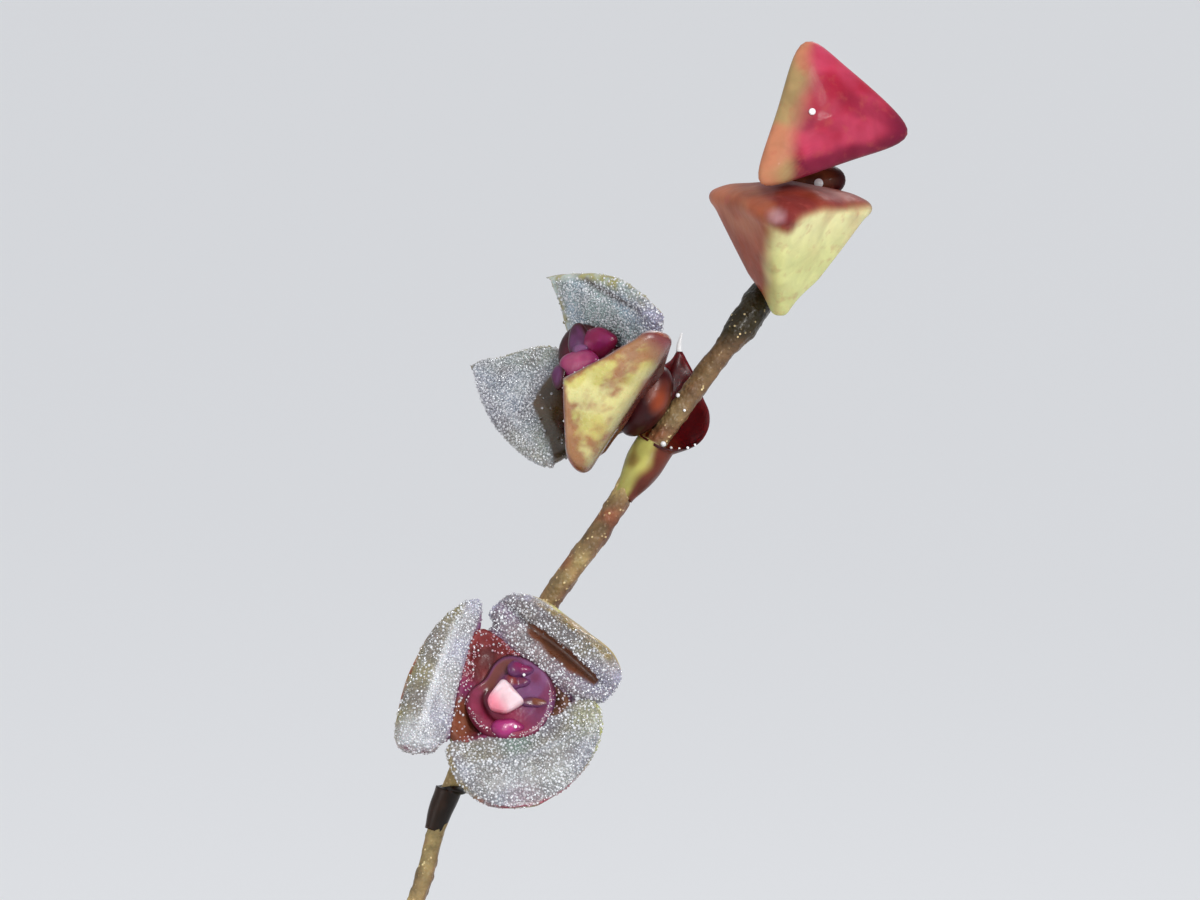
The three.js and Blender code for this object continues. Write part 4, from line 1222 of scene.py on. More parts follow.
def lower_bud_dye(local, point):
    seen = view.inverted() @ point
    height = local.z / BUD_HEIGHT
    patch = rough(point, 1.1, 4.0)
    left = smooth(0.16, -0.3, seen.x - mix(4.06, 3.85, height) + 0.5 * (patch - 0.5))
    pale = mix(LIME, WHITE, 0.15)
    tan = 0.35 * patchy(point, 1.3, 0.5, 0.7) * smooth(0.4, 0.9, height)
    right_side = stained(pale, (CREAM, smooth(0.5, 1.0, height)), (TAN, tan))
    left_side = stained(
        mix(RUST, AMBER, 0.7),
        (mix(TAN, AMBER, 0.4), smooth(0.5, 0.95, height + 0.5 * (patch - 0.5))),
        (mix(RUST, AMBER, 0.3), 0.6 * patchy(point, 1.3, 0.45, 0.65, 9.0)),
    )
    keel = seen.x - 4.1 + 0.42 * (seen.z - 5.14)
    low = 0.97 - 0.17 * exp(-((keel - 0.05) / 0.36) ** 2) + 0.08 * (patch - 0.5)
    top = smooth(low, low + 0.14, height)
    # The crown: red-brown skin with amber, darkened partly as a painted shadow of the upper bud.
    crown = mix(mix(RUST, WINE, 0.5), AMBER, 0.5 * smooth(0.4, 0.7, patch))
    return stained(
        mix(right_side, left_side, left),
        (left_side, top),
        (crown, top * smooth(-0.15, 0.1, keel + 0.3 * (patch - 0.5))),
        (WINE, 0.8 * smooth(1.75, 2.1, hypot(local.x, local.y))),
        # A pale pink spot near the top of the keel: a painted highlight.
        (PALE_PINK, 0.25 * smooth(0.3, 0.05, hypot(seen.x - 4.0, seen.z - 5.3))),
        (pale, smooth(0.16, 0.04, height)),
    )


def upper_bud_dye(local, point):
    patch = rough(point, 1.0)
    fine = rough(point, 2.6, 15.0)
    seen = view.inverted() @ point
    rise = seen.z - 6.24 - 0.27 * (seen.x - 4.04)
    olive = 0.7 * patchy(point, 0.9, 0.42, 0.6, 5.0)
    return stained(
        mix(CRIMSON, ROSE, smooth(0.3, 0.65, 0.6 * patch + 0.4 * fine)),
        (mix(WINE, CRIMSON, 0.4), 0.6 * smooth(0.5, 0.7, 0.6 * rough(point, 1.4, 9.0) + 0.4 * fine)),
        (WINE, 0.8 * smooth(0.4, 0.12, rise + 0.3 * (patch - 0.5))),
        (mix(TAN, OLIVE, olive), smooth(-0.5, -0.95, local.x + 0.5 * (patch - 0.5))),
        (WINE, 0.9 * smooth(1.0, 1.8, local.x)),
    )


# The stalk of the upper bud, squeezed in between the two.
UPPER_BUD_STALK = [
    dict(at=(4.75, 0.25, 6.2), halves=(0.92, 0.4, 0.42), way=(0, -1, 0.2), along=(-1, 0, -0.1),
         dyes=(mix(OLIVE_DARK, RUST, 0.6), MAROON)),
]
# Each bud's foot, its axis and the way to its first corner.
BUDS = [
    dict(name="bud_lower", stand=((4.13, -0.42, 3.12), (0.06, -0.17, 0.985), (-0.12, -1, 0)),
         colour=lower_bud_dye, shape=dict(size=1.08, tall=0.91, sharpness=4.0), lumps=[], slot="bud_yellow"),
    dict(name="bud_upper", stand=((4.42, 0.55, 7.26), (0.31, -0.94, 0.12), (1, 0.3, -0.27)),
         colour=upper_bud_dye, shape=dict(size=1.0, tall=0.92, skew=0.1, sharpness=4.2),
         lumps=UPPER_BUD_STALK, slot="bud_red"),
]
bud_trees = []
for bud in BUDS:
    mesh = start_mesh()
    add_bud(mesh, view @ standing(*bud["stand"]), bud["colour"], **bud["shape"])
    add_lumps(mesh, view, bud["lumps"])
    bud_trees.append(BVHTree.FromBMesh(mesh))
    finish_piece(mesh, bud["name"] + "_closed", BUD, bud["slot"], bud["name"])


# Moss, shoots and rhizome, on the same lines as the solids

MOSS_CELL = 2 * MOSS_HALF / MOSS_CELLS


def moss_corner(i, j):
    x = i * MOSS_CELL - MOSS_HALF
    y = j * MOSS_CELL - MOSS_HALF
    waves = sin(x * 0.42 + 1.1) * cos(y * 0.37)
    waves += sin(x * 0.23 - y * 0.31 + 0.6) + cos(x * 0.61 + y * 0.53)
    dome = 1 - (x * x + y * y) / (2 * MOSS_HALF * MOSS_HALF)
    return MOSS_TOP + MOSS_DOME * dome + MOSS_LUMP * waves / 1.5


def moss_height(x, y):
    i = round_down((x + MOSS_HALF) / MOSS_CELL + 1e-6)
    j = round_down((y + MOSS_HALF) / MOSS_CELL + 1e-6)
    across = (x + MOSS_HALF) / MOSS_CELL - i
    along = (y + MOSS_HALF) / MOSS_CELL - j
    near = mix(moss_corner(i, j), moss_corner(i + 1, j), across)
    far = mix(moss_corner(i, j + 1), moss_corner(i + 1, j + 1), across)
    return mix(near, far, along)


def surface_point(x, y, radius):
    return Vector((x, y, moss_height(x, y) + radius + SURFACE_CLEAR))


def branch_heading(branch):
    return radians(BRANCH_TURN + 360 / BRANCHES * branch)


def branch_point(branch, distance):
    heading = branch_heading(branch)
    side = 1.1 * sin(distance * 0.55 + branch * 2)
    x = distance * cos(heading) - side * sin(heading)
    y = distance * sin(heading) + side * cos(heading)
    return surface_point(x, y, RHIZOME_RADIUS)


class Shoot:
    """A leafy shoot's line: a straight stem, then its leaf's midrib, which arches outwards."""

    def __init__(self, branch, place):
        heading = branch_heading(branch) + radians(SHOOT_SWING[place] + 6 * sin(branch * 5 + place))
        self.outward = polar(1, heading)
        self.tilt = radians(SHOOT_TILT[place] + 3 * sin(branch * 3 + place * 2))
        grow = 1 + 0.07 * sin(branch * 4 + place * 1.7)
        lift = RHIZOME_RADIUS + 0.35 + 1.15 * sin(self.tilt)
        self.base = branch_point(branch, SHOOT_AT[place]) + Vector((0, 0, lift))
        self.way = self.outward * sin(self.tilt) + Vector((0, 0, cos(self.tilt)))
        self.joint = self.base + self.way * STEM_LENGTH[place] * grow
        self.leaf_length = LEAF_LENGTH[place] * grow
        self.seed = branch * 4.0 + place

    def midrib(self, share, steps=12):
        point = self.joint.copy()
        lean = self.tilt
        for step in range(steps):
            lean = self.tilt + radians(LEAF_DROOP) * ((step + 0.5) / steps) ** 1.5 * share
            point += self.outward * (sin(lean) * self.leaf_length * share / steps)
            point.z += cos(lean) * self.leaf_length * share / steps
        upper = self.outward * -cos(lean) + Vector((0, 0, sin(lean)))
        return point, upper


def leaf_half(along):
    belly = sin(pi * smooth(0, 1, along * 0.62 + 0.06)) ** 1.1
    tip = sqrt(max(0.0, 1 - smooth(0.72, 1.0, along) ** 2))
    return mix(PETIOLE_WIDTH / 2, LEAF_WIDTH / 2, belly * smooth(0.02, 0.45, along)) * tip


def build_leaf(shoot, name, node):
    mesh = start_mesh()
    side = shoot.outward.cross(Vector((0, 0, 1)))

    def place(turn, along, vert):
        out = cos(turn)
        share = sin(along * pi / 2) if along > 0.02 else along * pi / 2
        point, upper = shoot.midrib(share)
        half = leaf_half(share)
        fold = radians(mix(48, 10, smooth(0, 0.45, share)))
        wave = 0.25 * sin(share * 9 + shoot.seed) * abs(out) * smooth(0.3, 0.6, share)
        thick = LEAF_THICKNESS * mix(1, 0.5, out * out) * min(1.0, half / 0.8)
        groove = exp(-((out * half / 0.35) ** 2))
        face = copysign(abs(sin(turn)) ** 0.7, sin(turn))
        lift = face * thick * 0.5 - groove * (0.22 if face > 0 else 0.3) * min(1.0, half)
        point += side * (out * half * cos(fold)) + upper * (abs(out) * half * sin(fold) + lift + wave)
        if face > 0:
            colour = mix(LEAF_GREEN, LEAF_DARK, rough(point, 0.25, shoot.seed))
            colour = mix(colour, LEAF_BACK, 0.5 * groove)
        else:
            colour = mix(LEAF_BACK, LEAF_GREEN, rough(point, 0.3, shoot.seed))
        dye(mesh, vert, stained(
            colour,
            (OLIVE, 0.6 * smooth(0.94, 1.0, abs(out))),
            (STRAW, 0.7 * smooth(0.12, 0.0, share)),
            (RUST, 0.5 * smooth(0.93, 1.0, share)),
        ))
        return point

    sheet(mesh, 44, 56, place)
    finish_piece(mesh, name, LEAF, "leaf", node)


SHEATH_WALL = 0.08
SPATHE_WALL = 0.07
# Sheaths on a stem: where each starts and ends along it, and its radius at its foot and at its mouth.
SHEATHS = [(0.0, 0.24, 1.2, 1.12), (0.14, 0.48, 0.98, 1.1), (0.4, 0.76, 0.84, 1.0)]


def build_shoot_stem(shoot, name, node):
    mesh = start_mesh()
    root = shoot.base - shoot.way * 1.5
    end = shoot.joint + shoot.way * 0.8
    line = Line([root, root.lerp(end, 0.33), root.lerp(end, 0.66), end])

    def stem_dye(share, point):
        return mix(OLIVE, LEAF_BACK, rough(point, 0.5, shoot.seed))

    def sheath_dye(along, point):
        return mix(mix(STRAW, BARK, rough(point, 0.7, shoot.seed)), BROWN, 0.7 * smooth(0.85, 1.0, along))

    tube(mesh, line, 24, 16, lambda share, turn: mix(0.82, 0.72, share), stem_dye)
    for start, stop, foot, mouth in SHEATHS:
        def share(along, turn):
            slant = 1 + 0.12 * cos(turn + shoot.seed) * smooth(0.6, 1.0, along)
            return start + (stop - start) * along * slant

        def radius(along):
            return mix(0.6, mix(foot, mouth, along ** 2), smooth(0.0, 0.06, along))

        sleeve(mesh, line, 22, 12, SHEATH_WALL, share, radius, sheath_dye)
    finish_piece(mesh, name, SHEATH, "leaf", node)


for branch in range(BRANCHES):
    for place in range(len(SHOOT_AT)):
        node = f"shoot_{branch + 1}_{place + 1}"
        shoot = Shoot(branch, place)
        build_leaf(shoot, node + "_leaf", node)
        build_shoot_stem(shoot, node + "_stem", node)


def build_rhizome():
    mesh = start_mesh()
    for branch in range(BRANCHES):
        line = Line([branch_point(branch, share * BRANCH_LENGTH) for share in (0, 0.25, 0.5, 0.75, 1)])

        def radius(share, turn):
            return RHIZOME_RADIUS * (0.88 + 0.12 * cos(share * 31)) * rounded(0.9, share)

        tube(mesh, line, 56, 22, radius, lambda share, point: mix(BARK, BROWN, rough(point, 0.8)))
    generator = random.Random(21)

    def root_radius(share, turn):
        return ROOT_RADIUS * mix(0.9, 0.45, share) * rounded(0.96, share)

    def root_dye(share, point):
        return mix(mix(STRAW, BARK, rough(point, 0.6)), LIME, smooth(0.9, 1.0, share))

    for index in range(ROOTS):
        heading = index / ROOTS * 2 * pi + generator.random() * 0.5
        bend = (generator.random() - 0.5) * 0.06
        reach = ROOT_LENGTH * generator.uniform(0.55, 1.0)
        stops = []
        for step in range(ROOT_STOPS):
            run = step / (ROOT_STOPS - 1) * reach
            spot = polar(run, heading + bend * run)
            wave = Vector((0, 0, 0.28 * sin(step * 1.7 + index)))
            stops.append(surface_point(spot.x, spot.y, ROOT_RADIUS * 0.6) + wave)
        tube(mesh, Line(stops), 40, 10, root_radius, root_dye)
    finish_piece(mesh, "rhizome_and_roots", SHEATH, "roots", "rhizome")


build_rhizome()


# Tall spike

TALL_SHOOT = Shoot(1, 2)


def spike_foot(shoot):
    """Where a spike leaves its shoot's joint, and a point in the channel of the leaf that it rises from."""
    upper = shoot.midrib(0.02)[1]
    return shoot.joint - shoot.way * 0.6 + upper * 0.5, shoot.joint + shoot.way * 0.9 + upper * 1.4


def add_spathe(mesh, line, length, seed):
    """The papery sheath round the foot of a spike, with a slanting pointed mouth."""
    def share(along, turn):
        slant = 1 + 0.45 * max(0.0, cos(turn)) ** 3 * smooth(0.5, 1.0, along)
        return along * slant * length / line.length

    def radius(along):
        return mix(0.86, 0.66, smooth(0.1, 0.8, along)) * mix(0.8, 1.0, smooth(0.0, 0.15, along))

    def colour(along, point):
        return mix(mix(OLIVE, STRAW, rough(point, 0.8, seed)), BARK, smooth(0.6, 1.0, along))

    sleeve(mesh, line, 28, 20, SPATHE_WALL, share, radius, colour)


def tall_line():
    first = Vector(TALL_SPIKE[0])
    root, foot = (view.inverted() @ point for point in spike_foot(TALL_SHOOT))
    rise = foot + Vector((-0.6, 0, 14))
    middle = rise.lerp(first, 0.55) + Vector((-1.6, 0, 0))
    return Line([view @ Vector(point) for point in (root, foot, rise, middle, *TALL_SPIKE)])


TALL_LINE = tall_line()
FINE_FROM = 0.62


def stem_radius(share):
    """The stem tapers from its foot, and is thinnest where its lowest bract sits."""
    return mix(0.5, RACHIS_RADIUS * mix(0.78, 1.0, smooth(0.76, 0.84, share)), smooth(0, 0.7, share))


def build_tall_stem(name, start, stop, rings, sides):
    """A stretch of the spike's stem. Its skin has ribs, folds and warts."""
    mesh = start_mesh()

    def radius(share, turn):
        whole = mix(start, stop, share)
        spot, out = TALL_LINE.out_at(whole, turn)
        skin = spot + out * RACHIS_RADIUS
        folds = rough(skin, 1.5, 1.0) - 0.5
        warts = patchy(skin, 5.5, 0.5, 0.7, 4.0)
        ribs = 0.5 + 0.5 * cos(6 * turn + 5 * folds)
        height = (view.inverted() @ spot).z
        swell = 0.1 * smooth(2.3, 2.9, height) * smooth(3.9, 3.4, height)
        relief = swell + 0.025 * folds + 0.022 * warts - 0.014 * ribs
        return rounded(0.995, share) * (stem_radius(whole) + relief)

    def colour(share, point):
        height = (view.inverted() @ point).z
        off = point - TALL_LINE.at(mix(start, stop, share))[0]
        # The stem's right and lower side is tinted wine: painted shading.
        painted_shade_side = off.dot(view_turn @ Vector((0.8, 0, -0.5)))
        return stained(
            mix(BARK, STRAW, patchy(point, 1.1, 0.3, 0.7)),
            (RUST, 0.6 * patchy(point, 1.7, 0.5, 0.8, 6.0)),
            (mix(WINE, BARK, 0.4), 0.5 * smooth(0.05, 0.25, painted_shade_side)),
            (mix(BARK, BROWN, 0.5), 0.8 * smooth(-0.5, 1.5, height)),
            # Towards the top, between the buds, it darkens towards soot: painted shadow over its dark olive
            # skin.
            (mix(OLIVE_DARK, SOOT, 0.5), smooth(2.2, 2.8, height)),
        )

    tube(mesh, tall_stretch(start, stop), rings, sides, radius, colour)
    tree = BVHTree.FromBMesh(mesh)
    finish_piece(mesh, name, STEM, "stem", "tall_spike_stem")
    return tree


def tall_stretch(start, stop, steps=60):
    return Line([TALL_LINE.at(mix(start, stop, step / steps))[0] for step in range(steps + 1)], 3)


build_tall_stem("tall_spike_peduncle", 0.0, FINE_FROM + 0.01, 220, 16)
stem_tree = build_tall_stem("tall_spike_rachis", FINE_FROM, 1.0, 480, 32)
spathe = start_mesh()
add_spathe(spathe, TALL_LINE, 9, 1)
finish_piece(spathe, "tall_spike_spathe", SHEATH, "stem", "tall_spike_stem")


BRACT_WALL = 0.06
# Bracts, to the right, away and up: points on each one's middle line, its radii at its foot and its mouth,
# its rim from the left over the front and the right to the back, and its dyes on the left, the right and at
# the rim.
BRACTS = [
    dict(name="bract_low", line=[(-3.82, 0, -8.78), (-3.67, 0, -8.3), (-3.5, 0, -7.85)], radii=(0.235, 0.3),
         rim=[(-3.74, 0, -7.8), (-3.44, -0.3, -7.74), (-3.16, 0, -7.74), (-3.12, 0.18, -7.64),
              (-3.32, 0.28, -7.62), (-3.58, 0.2, -7.72)],
         dyes=(mix(SOOT, BROWN, 0.25), SOOT, SOOT)),
    dict(name="bract_front", line=[(-2.98, 0, -6.95), (-2.75, 0, -6.45), (-2.5, 0.03, -6.05)],
         radii=(0.28, 0.4), dyes=(OLIVE, RUST, MAROON),
         rim=[(-2.85, 0.1, -5.75), (-2.5, -0.32, -5.95), (-2.05, 0, -6.0), (-1.95, 0.35, -5.6),
              (-2.1, 0.5, -5.1), (-2.5, 0.4, -5.4)]),
    dict(name="bract_side", line=[(0.52, 0, -1.08), (0.84, 0.0, -0.62), (1.1, 0.02, -0.2), (1.3, 0.04, 0.12)],
         radii=(0.262, 0.46), dyes=(mix(SULPHUR, LIME, 0.2), mix(RUST, MAROON, 0.5), MAROON),
         rim=[(0.66, 0.2, 0.5), (0.9, -0.24, 0.34), (1.3, -0.44, 0.06), (1.62, -0.44, -0.02),
              (1.86, -0.34, 0.0), (2.13, -0.16, 0.08), (2.36, 0.06, 0.24), (2.51, 0.3, 0.55),
              (2.52, 0.46, 0.9), (2.4, 0.6, 1.2), (2.24, 0.7, 1.66), (2.05, 0.76, 2.02), (1.84, 0.76, 2.34),
              (1.64, 0.8, 2.08), (1.3, 0.9, 1.86), (1.0, 0.86, 1.4), (0.72, 0.6, 0.85)]),
]


def build_bract(facts):
    """A tube that opens into a hooded rim: up its outside, over the rim and down its inside."""
    mesh = start_mesh()
    line = Line([view @ Vector(point) for point in facts["line"]])
    rim = Line([view @ Vector(point) for point in (*facts["rim"], facts["rim"][0])])
    foot, mouth = facts["radii"]
    one, other, inner = facts["dyes"]

    def place(turn, along, vert):
        rise = 1 - abs(2 * along - 1)
        spot, way, aside, up = line.at(rise * 2)
        front = view_turn @ Vector((0, -1, 0))
        front = (front - way * front.dot(way)).normalized()
        out = front.cross(way) * cos(turn) + front * sin(turn)
        point = spot + out * mix(foot, mouth, smooth(0.0, 0.35, rise))
        beyond = max(0.0, rise * 2 - 1)
        bulge = out * 0.5 * beyond * (1 - beyond) * max(0.0, -cos(turn))
        point = point.lerp(rim.at((turn / (2 * pi)) ** 1.3)[0], beyond) + bulge
        point += out * 0.06 * (rough(point, 2.0) - 0.5)
        if along > 0.5:
            point -= out * BRACT_WALL * smooth(0.0, 0.1, rise) * smooth(1.0, 0.93, rise)
        dye(mesh, vert, stained(
            one,
            (other, smooth(0.2, -0.5, cos(turn) + 0.6 * (rough(point, 1.6, 8.0) - 0.5))),
            (other, 0.6 * patchy(point, 2.2, 0.5, 0.7)),
            (inner, smooth(0.0, 0.3, beyond)),
            (inner, 0.5 * rough(point, 1.2)),
        ))
        return point

    sheet(mesh, 80, 96, place)
    tree = BVHTree.FromBMesh(mesh)
    finish_piece(mesh, facts["name"], BRACT, "stem", "tall_spike_stem")
    return tree


bract_trees = [build_bract(facts) for facts in BRACTS]

# Droplets on the bract, the stem, the buds and the front flower's petals: to the right and up in the view,
# and radius. Their near-white colour is a painted highlight, and the one on the upper bud and the two on the
# petals stand in for wet glints.
DROPLETS = [
    (1.8, 1.26, 0.05), (1.945, 0.915, 0.035), (1.457, 0.134, 0.07), (1.645, 0.05, 0.035), (1.83, 0.03, 0.03),
    (2.02, 0.05, 0.035), (2.19, 0.12, 0.03), (5.04, 6.15, 0.11), (4.83, 7.7, 0.08), (-1.73, -5.12, 0.035),
    (-1.92, -6.28, 0.04),
]
# The thin glassy point of the hood, in the same near-white drop glass, a painted highlight: to the right,
# away and up.
HOOD_POINT = [(1.83, 0.76, 2.28), (1.83, 0.76, 2.42), (1.86, 0.75, 2.56), (1.9, 0.74, 2.72)]
HOOD_RADIUS = 0.06
# How far before the view's middle a droplet's ray starts.
BEFORE = 12


def add_drop(mesh, spot, radius):
    stand = Matrix.Translation(spot) @ view_turn.to_4x4()
    lump(mesh, stand, (radius, radius * 0.8, radius), lambda local, point: WHITE, 0, 20, 14)


def hood_radius(share, turn):
    return HOOD_RADIUS * (1 - share) ** 0.7 + 0.012


def build_droplets():
    trees = [*bract_trees, *bud_trees, *centre_trees, stem_tree]
    into = view_turn @ Vector((0, 1, 0))
    mesh = start_mesh()
    for right, up, radius in DROPLETS:
        start = view @ Vector((right, -BEFORE, up))
        hits = [tree.ray_cast(start, into) for tree in trees]
        hits = [(hit[3], hit[0]) for hit in hits if hit[0]]
        if hits:
            add_drop(mesh, min(hits)[1] - into * radius * 0.4, radius)
    hood = Line([view @ Vector(spot) for spot in HOOD_POINT])
    tube(mesh, hood, 24, 12, hood_radius, lambda share, point: WHITE)
    finish_piece(mesh, "droplets", DROP, "stem", "tall_spike_stem")


build_droplets()


# Low spikes: the same lines, blooms and buds as the solids

BLOOM_SEPAL = dict(PLAIN, to_crease=0.7, ridge=0.02, rolls=(0.02, 0.06),
                   edges=([(-1.4, 0), (-1.66, 0.35), (-1.64, 0.85), (-1.2, 1.3)],
                          [(1.4, 0), (1.66, 0.35), (1.64, 0.85), (1.2, 1.3)]),
                   end=(0, 1.55), inner=LILAC, outer=SILVER, fold=SILVER, margins=(STRAW, RUST, LIME),
                   throat=MAUVE)
LOW_SPIKES = [
    dict(shoot=(0, 1), height=41, reach=16, swing=20, blooms=3, buds=3),
    dict(shoot=(2, 1), height=40, reach=22, swing=-25, blooms=3, buds=2),
    dict(shoot=(0, 3), height=34, reach=20, swing=-10, blooms=3, buds=2),
    dict(shoot=(2, 3), height=32, reach=24, swing=12, blooms=3, buds=2),
]


def low_bud_dye(local, point):
    return mix(mix(LIME, TAN, rough(point, 0.9)), ROSE, 0.7 * smooth(0.4, 0.9, rough(point, 1.1, 3.0)))


def build_low_spike(facts, number):
    node = f"low_spike_{number}"
    shoot = Shoot(*facts["shoot"])
    root, foot = spike_foot(shoot)
    lean = shoot.outward.copy()
    lean.rotate(Matrix.Rotation(radians(facts["swing"]), 3, "Z"))
    stops = [
        foot + lean * facts["reach"] * share ** 1.7 + Vector((0, 0, facts["height"] * share))
        for share in (0, 0.2, 0.4, 0.6, 0.8, 1)
    ]
    line = Line([root, *stops])
    spathe = start_mesh()
    add_spathe(spathe, line, 7, number)
    finish_piece(spathe, node + "_spathe", SHEATH, "sepal", node)
    stem = start_mesh()

    def radius(share, turn):
        return mix(0.5, RACHIS_RADIUS, smooth(0, 0.6, share)) * (1 + 0.1 * sin(share * 90) * sin(turn * 2))

    def colour(share, point):
        return mix(BARK, OLIVE, rough(point, 0.8))

    tube(stem, line, 120, 14, radius, colour)
    blooms, centres, buds = (start_mesh() for piece in range(3))
    last = facts["blooms"] + facts["buds"]
    for index in range(last):
        share = mix(0.5, 0.985, index / last)
        point, along, aside, up = line.at(share)
        flank = along.cross(lean).normalized() * (-1 if index % 2 else 1)
        axis = (flank * 0.85 + lean * 0.35 + along * 0.45).normalized()
        if index >= facts["blooms"]:
            size = mix(0.9, 0.55, (index - facts["blooms"]) / facts["buds"])
            add_bud(buds, standing(point + axis * 0.1, axis, along), low_bud_dye, size, columns=36, rows=26)
            continue
        stand = standing(point + axis * 1.15, axis, along)
        for turn in (0, 120, 240):
            bends = dict(base=14 + 6 * (index % 2), tip=-10 + 30 * (index % 3))
            Sepal(dict(BLOOM_SEPAL, turn=turn, **bends)).add_to(blooms, stand, 32, 15)
        add_cup(blooms, stand, stand, FRONT_WALLS, 26, 20)
        add_disc(centres, stand, 0.35)
        add_lumps(centres, stand, FRONT_LUMPS, 0.35)
        stalk = Line([point, point + axis * 0.6, point + axis * 1.0])
        tube(stem, stalk, 8, 12, lambda share, turn: mix(0.22, 0.36, share), colour)
    parts = dict(stem=(stem, STEM), blooms=(blooms, SEPAL), centres=(centres, CENTRE), buds=(buds, BUD))
    for part, (mesh, material) in parts.items():
        finish_piece(mesh, node + "_" + part, material, "sepal", node)


for number, facts in enumerate(LOW_SPIKES, 1):
    build_low_spike(facts, number)


# Moss bed and strands

MOSS_VOXEL = 1.1
STRANDS = 11500
MOST_TRIES = 60000
LOWEST_STRAND = 9
STRAND_RINGS = 4
STRAND_SIDES = 3


def build_moss_bed():
    """The solid's own form, remeshed and ruffled."""
    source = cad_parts["moss"]
    mesh = bmesh.new()
    mesh.from_mesh(source.data)
    bmesh.ops.remove_doubles(mesh, verts=mesh.verts[:], dist=1e-6)
    coarse = add_object("moss_bed_coarse", to_data(mesh, "moss_bed_coarse"))
    remesh = coarse.modifiers.new("even", "REMESH")
    remesh.mode = "VOXEL"
    remesh.voxel_size = MOSS_VOXEL * MM
    made = bpy.data.meshes.new_from_object(coarse.evaluated_get(bpy.context.evaluated_depsgraph_get()))
    bpy.data.objects.remove(coarse)
    mesh = start_mesh()
    mesh.from_mesh(made)
    bmesh.ops.scale(mesh, vec=(1 / MM,) * 3, verts=mesh.verts[:])
    mesh.normal_update()
    for vert in mesh.verts:
        point = vert.co.copy()
        lift = 1.6 * (rough(point, 0.35) - 0.6) + 0.9 * (rough(point, 1.1, 5.0) - 0.6)
        vert.co = point + vert.normal * lift
        dye(mesh, vert, mix(MOSS_BROWN, MOSS_GREEN, rough(point, 0.3, 2.0)))
    faces = [(face.calc_center_median(), face.normal.copy()) for face in mesh.faces]
    finish_piece(mesh, "moss_bed", MOSS_BED, "moss", "moss")
    return faces


def strand_mesh(strands):
    """Short bent tapering strands: each is a root, a way, a bend, a length, a width and a dye."""
    mesh = start_mesh()
    bmesh.ops.create_cone(mesh, cap_ends=False, segments=STRAND_SIDES, radius1=1.0, radius2=1.0, depth=1.0)
    upright = [edge for edge in mesh.edges if abs(edge.verts[0].co.z - edge.verts[1].co.z) > 0.5]
    bmesh.ops.subdivide_edges(mesh, edges=upright, cuts=STRAND_RINGS - 2, use_grid_fill=True)
    pattern = copies(mesh, len(strands))
    for index, (root, way, bend, length, width, colour) in enumerate(strands):
        side = way.orthogonal().normalized()
        up = way.cross(side)
        for corner, start in enumerate(pattern):
            share = start.z + 0.5
            spot = root + way * length * share + bend * length * share * share
            vert = mesh.verts[index * len(pattern) + corner]
            vert.co = spot + (side * start.x + up * start.y) * width * (1 - 0.85 * share ** 2)
            dye(mesh, vert, mix(colour, MOSS_STRAW, 0.35 * share))
    return mesh


def wild_way(generator):
    return Vector([generator.gauss(0, 1) for axis in range(3)])


def build_moss_strands(faces):
    """Strands on the bed's top and in the gaps between the slats, and none behind a slat."""
    generator = random.Random(5)
    top = []
    gaps = []
    tries = 0
    while tries < MOST_TRIES and len(top) + len(gaps) < STRANDS:
        tries += 1
        centre, normal = generator.choice(faces)
        outside = max(abs(centre.x), abs(centre.y)) > MOSS_HALF - 0.6
        if centre.z < MOSS_TOP - 2 and not outside:
            continue
        if centre.z < LOWEST_STRAND or normal.z < -0.3:
            continue
        on_top = centre.z >= MOSS_TOP - 3
        gap_along_x = int(centre.z / SLAT_COURSE) % 2 == 1
        if not on_top and abs(centre.y if gap_along_x else centre.x) < MOSS_HALF - 2:
            continue
        way = (normal * 0.75 + wild_way(generator) * 0.55).normalized()
        bend = wild_way(generator) * 0.35 + Vector((0, 0, -0.15))
        length = generator.uniform(1.4, 3.4)
        width = generator.uniform(0.12, 0.3)
        kind = generator.random()
        colour = mix(MOSS_GREEN, MOSS_STRAW, kind) if kind > 0.3 else mix(MOSS_BROWN, MOSS_GREEN, kind * 3)
        strand = (centre - normal * 0.3, way, bend, length, width, colour)
        (top if on_top else gaps).append(strand)
    finish_piece(strand_mesh(top), "moss_strands_top", MOSS_STRAND, "moss", "moss")
    finish_piece(strand_mesh(gaps), "moss_strands_gaps", MOSS_STRAND, "moss", "moss")


build_moss_strands(build_moss_bed())


# Basket

for name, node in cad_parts.items():
    if "slat" not in name:
        continue
    low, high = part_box(name)
    along_x = high.x - low.x > high.y - low.y
    node.data.materials.clear()
    node.data.materials.append(WOOD_X if along_x else WOOD_Y)


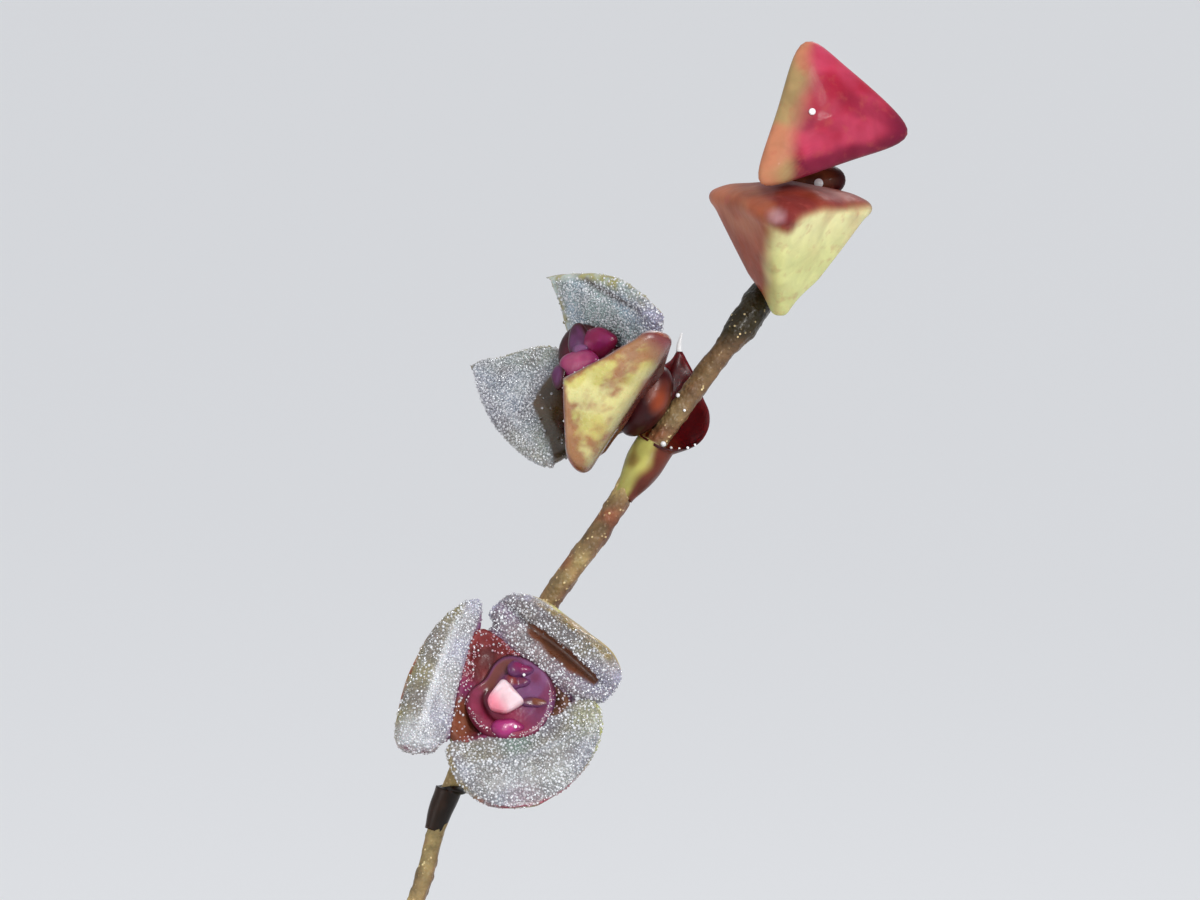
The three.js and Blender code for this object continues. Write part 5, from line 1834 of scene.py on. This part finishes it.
def build_pin(number):
    """A round wire pin with a hammered domed head."""
    node = f"pin_{number}"
    low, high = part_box(node)
    middle = Vector(((low.x + high.x) / 2 / MM, (low.y + high.y) / 2 / MM, 0))
    bottom = low.z / MM
    top = high.z / MM
    head = top - PIN_HEAD_HEIGHT
    outline = [(0, bottom), (0.8, bottom), (PIN_RADIUS, bottom + 0.2), (PIN_RADIUS, head), (2.15, head),
               (PIN_HEAD, head + 0.2), (2.1, head + 0.65), (1.4, head + 1.08), (0.6, head + 1.26), (0, top)]
    mesh = start_mesh()
    last = len(outline) - 1

    def place(turn, along, vert):
        dye(mesh, vert, WHITE)
        r, z = outline[round(along * last)]
        return middle + polar(r, turn, z)

    sheet(mesh, 40, last, place)
    finish_piece(mesh, node + "_wire", WIRE, "pins", node)


for number in (1, 2, 3, 4):
    build_pin(number)


# Studio

floor_mesh = bmesh.new()
bmesh.ops.create_grid(floor_mesh, x_segments=2, y_segments=2, size=FLOOR_HALF)
floor_data = to_data(floor_mesh, "floor")
floor_data.materials.append(studio_floor())
floor = add_object("floor", floor_data)
floor.location.z = cad_box[0].z

world = bpy.data.worlds.new("soft studio")
world.use_nodes = True
world.node_tree.nodes["Background"].inputs["Color"].default_value = (0.92, 0.95, 1.0, 1)
world.node_tree.nodes["Background"].inputs["Strength"].default_value = 0.6
bpy.context.scene.world = world
bpy.context.scene.view_settings.view_transform = "Standard"


def add_light(name, kind, place, power, size=None, angle=None):
    data = bpy.data.lights.new(name, kind)
    data.energy = power
    if size:
        data.size = size
    if angle:
        data.angle = radians(angle)
    light = add_object(name, data)
    light.location = Vector(place)
    light.rotation_euler = (VIEW_MIDDLE * MM - light.location).to_track_quat("-Z", "Y").to_euler()


add_light("soft sun", "SUN", (0.5, -0.9, 1.2), 1.0, angle=16)
add_light("key", "AREA", (0.14, -0.3, 0.32), 0.52, size=0.06)
add_light("fill", "AREA", (-0.3, -0.25, 0.2), 0.2, size=0.2)
add_light("glint", "AREA", (0.06, -0.28, 0.22), 0.07, size=0.012)
add_light("rim", "AREA", (0.12, 0.28, 0.34), 0.25, size=0.1)
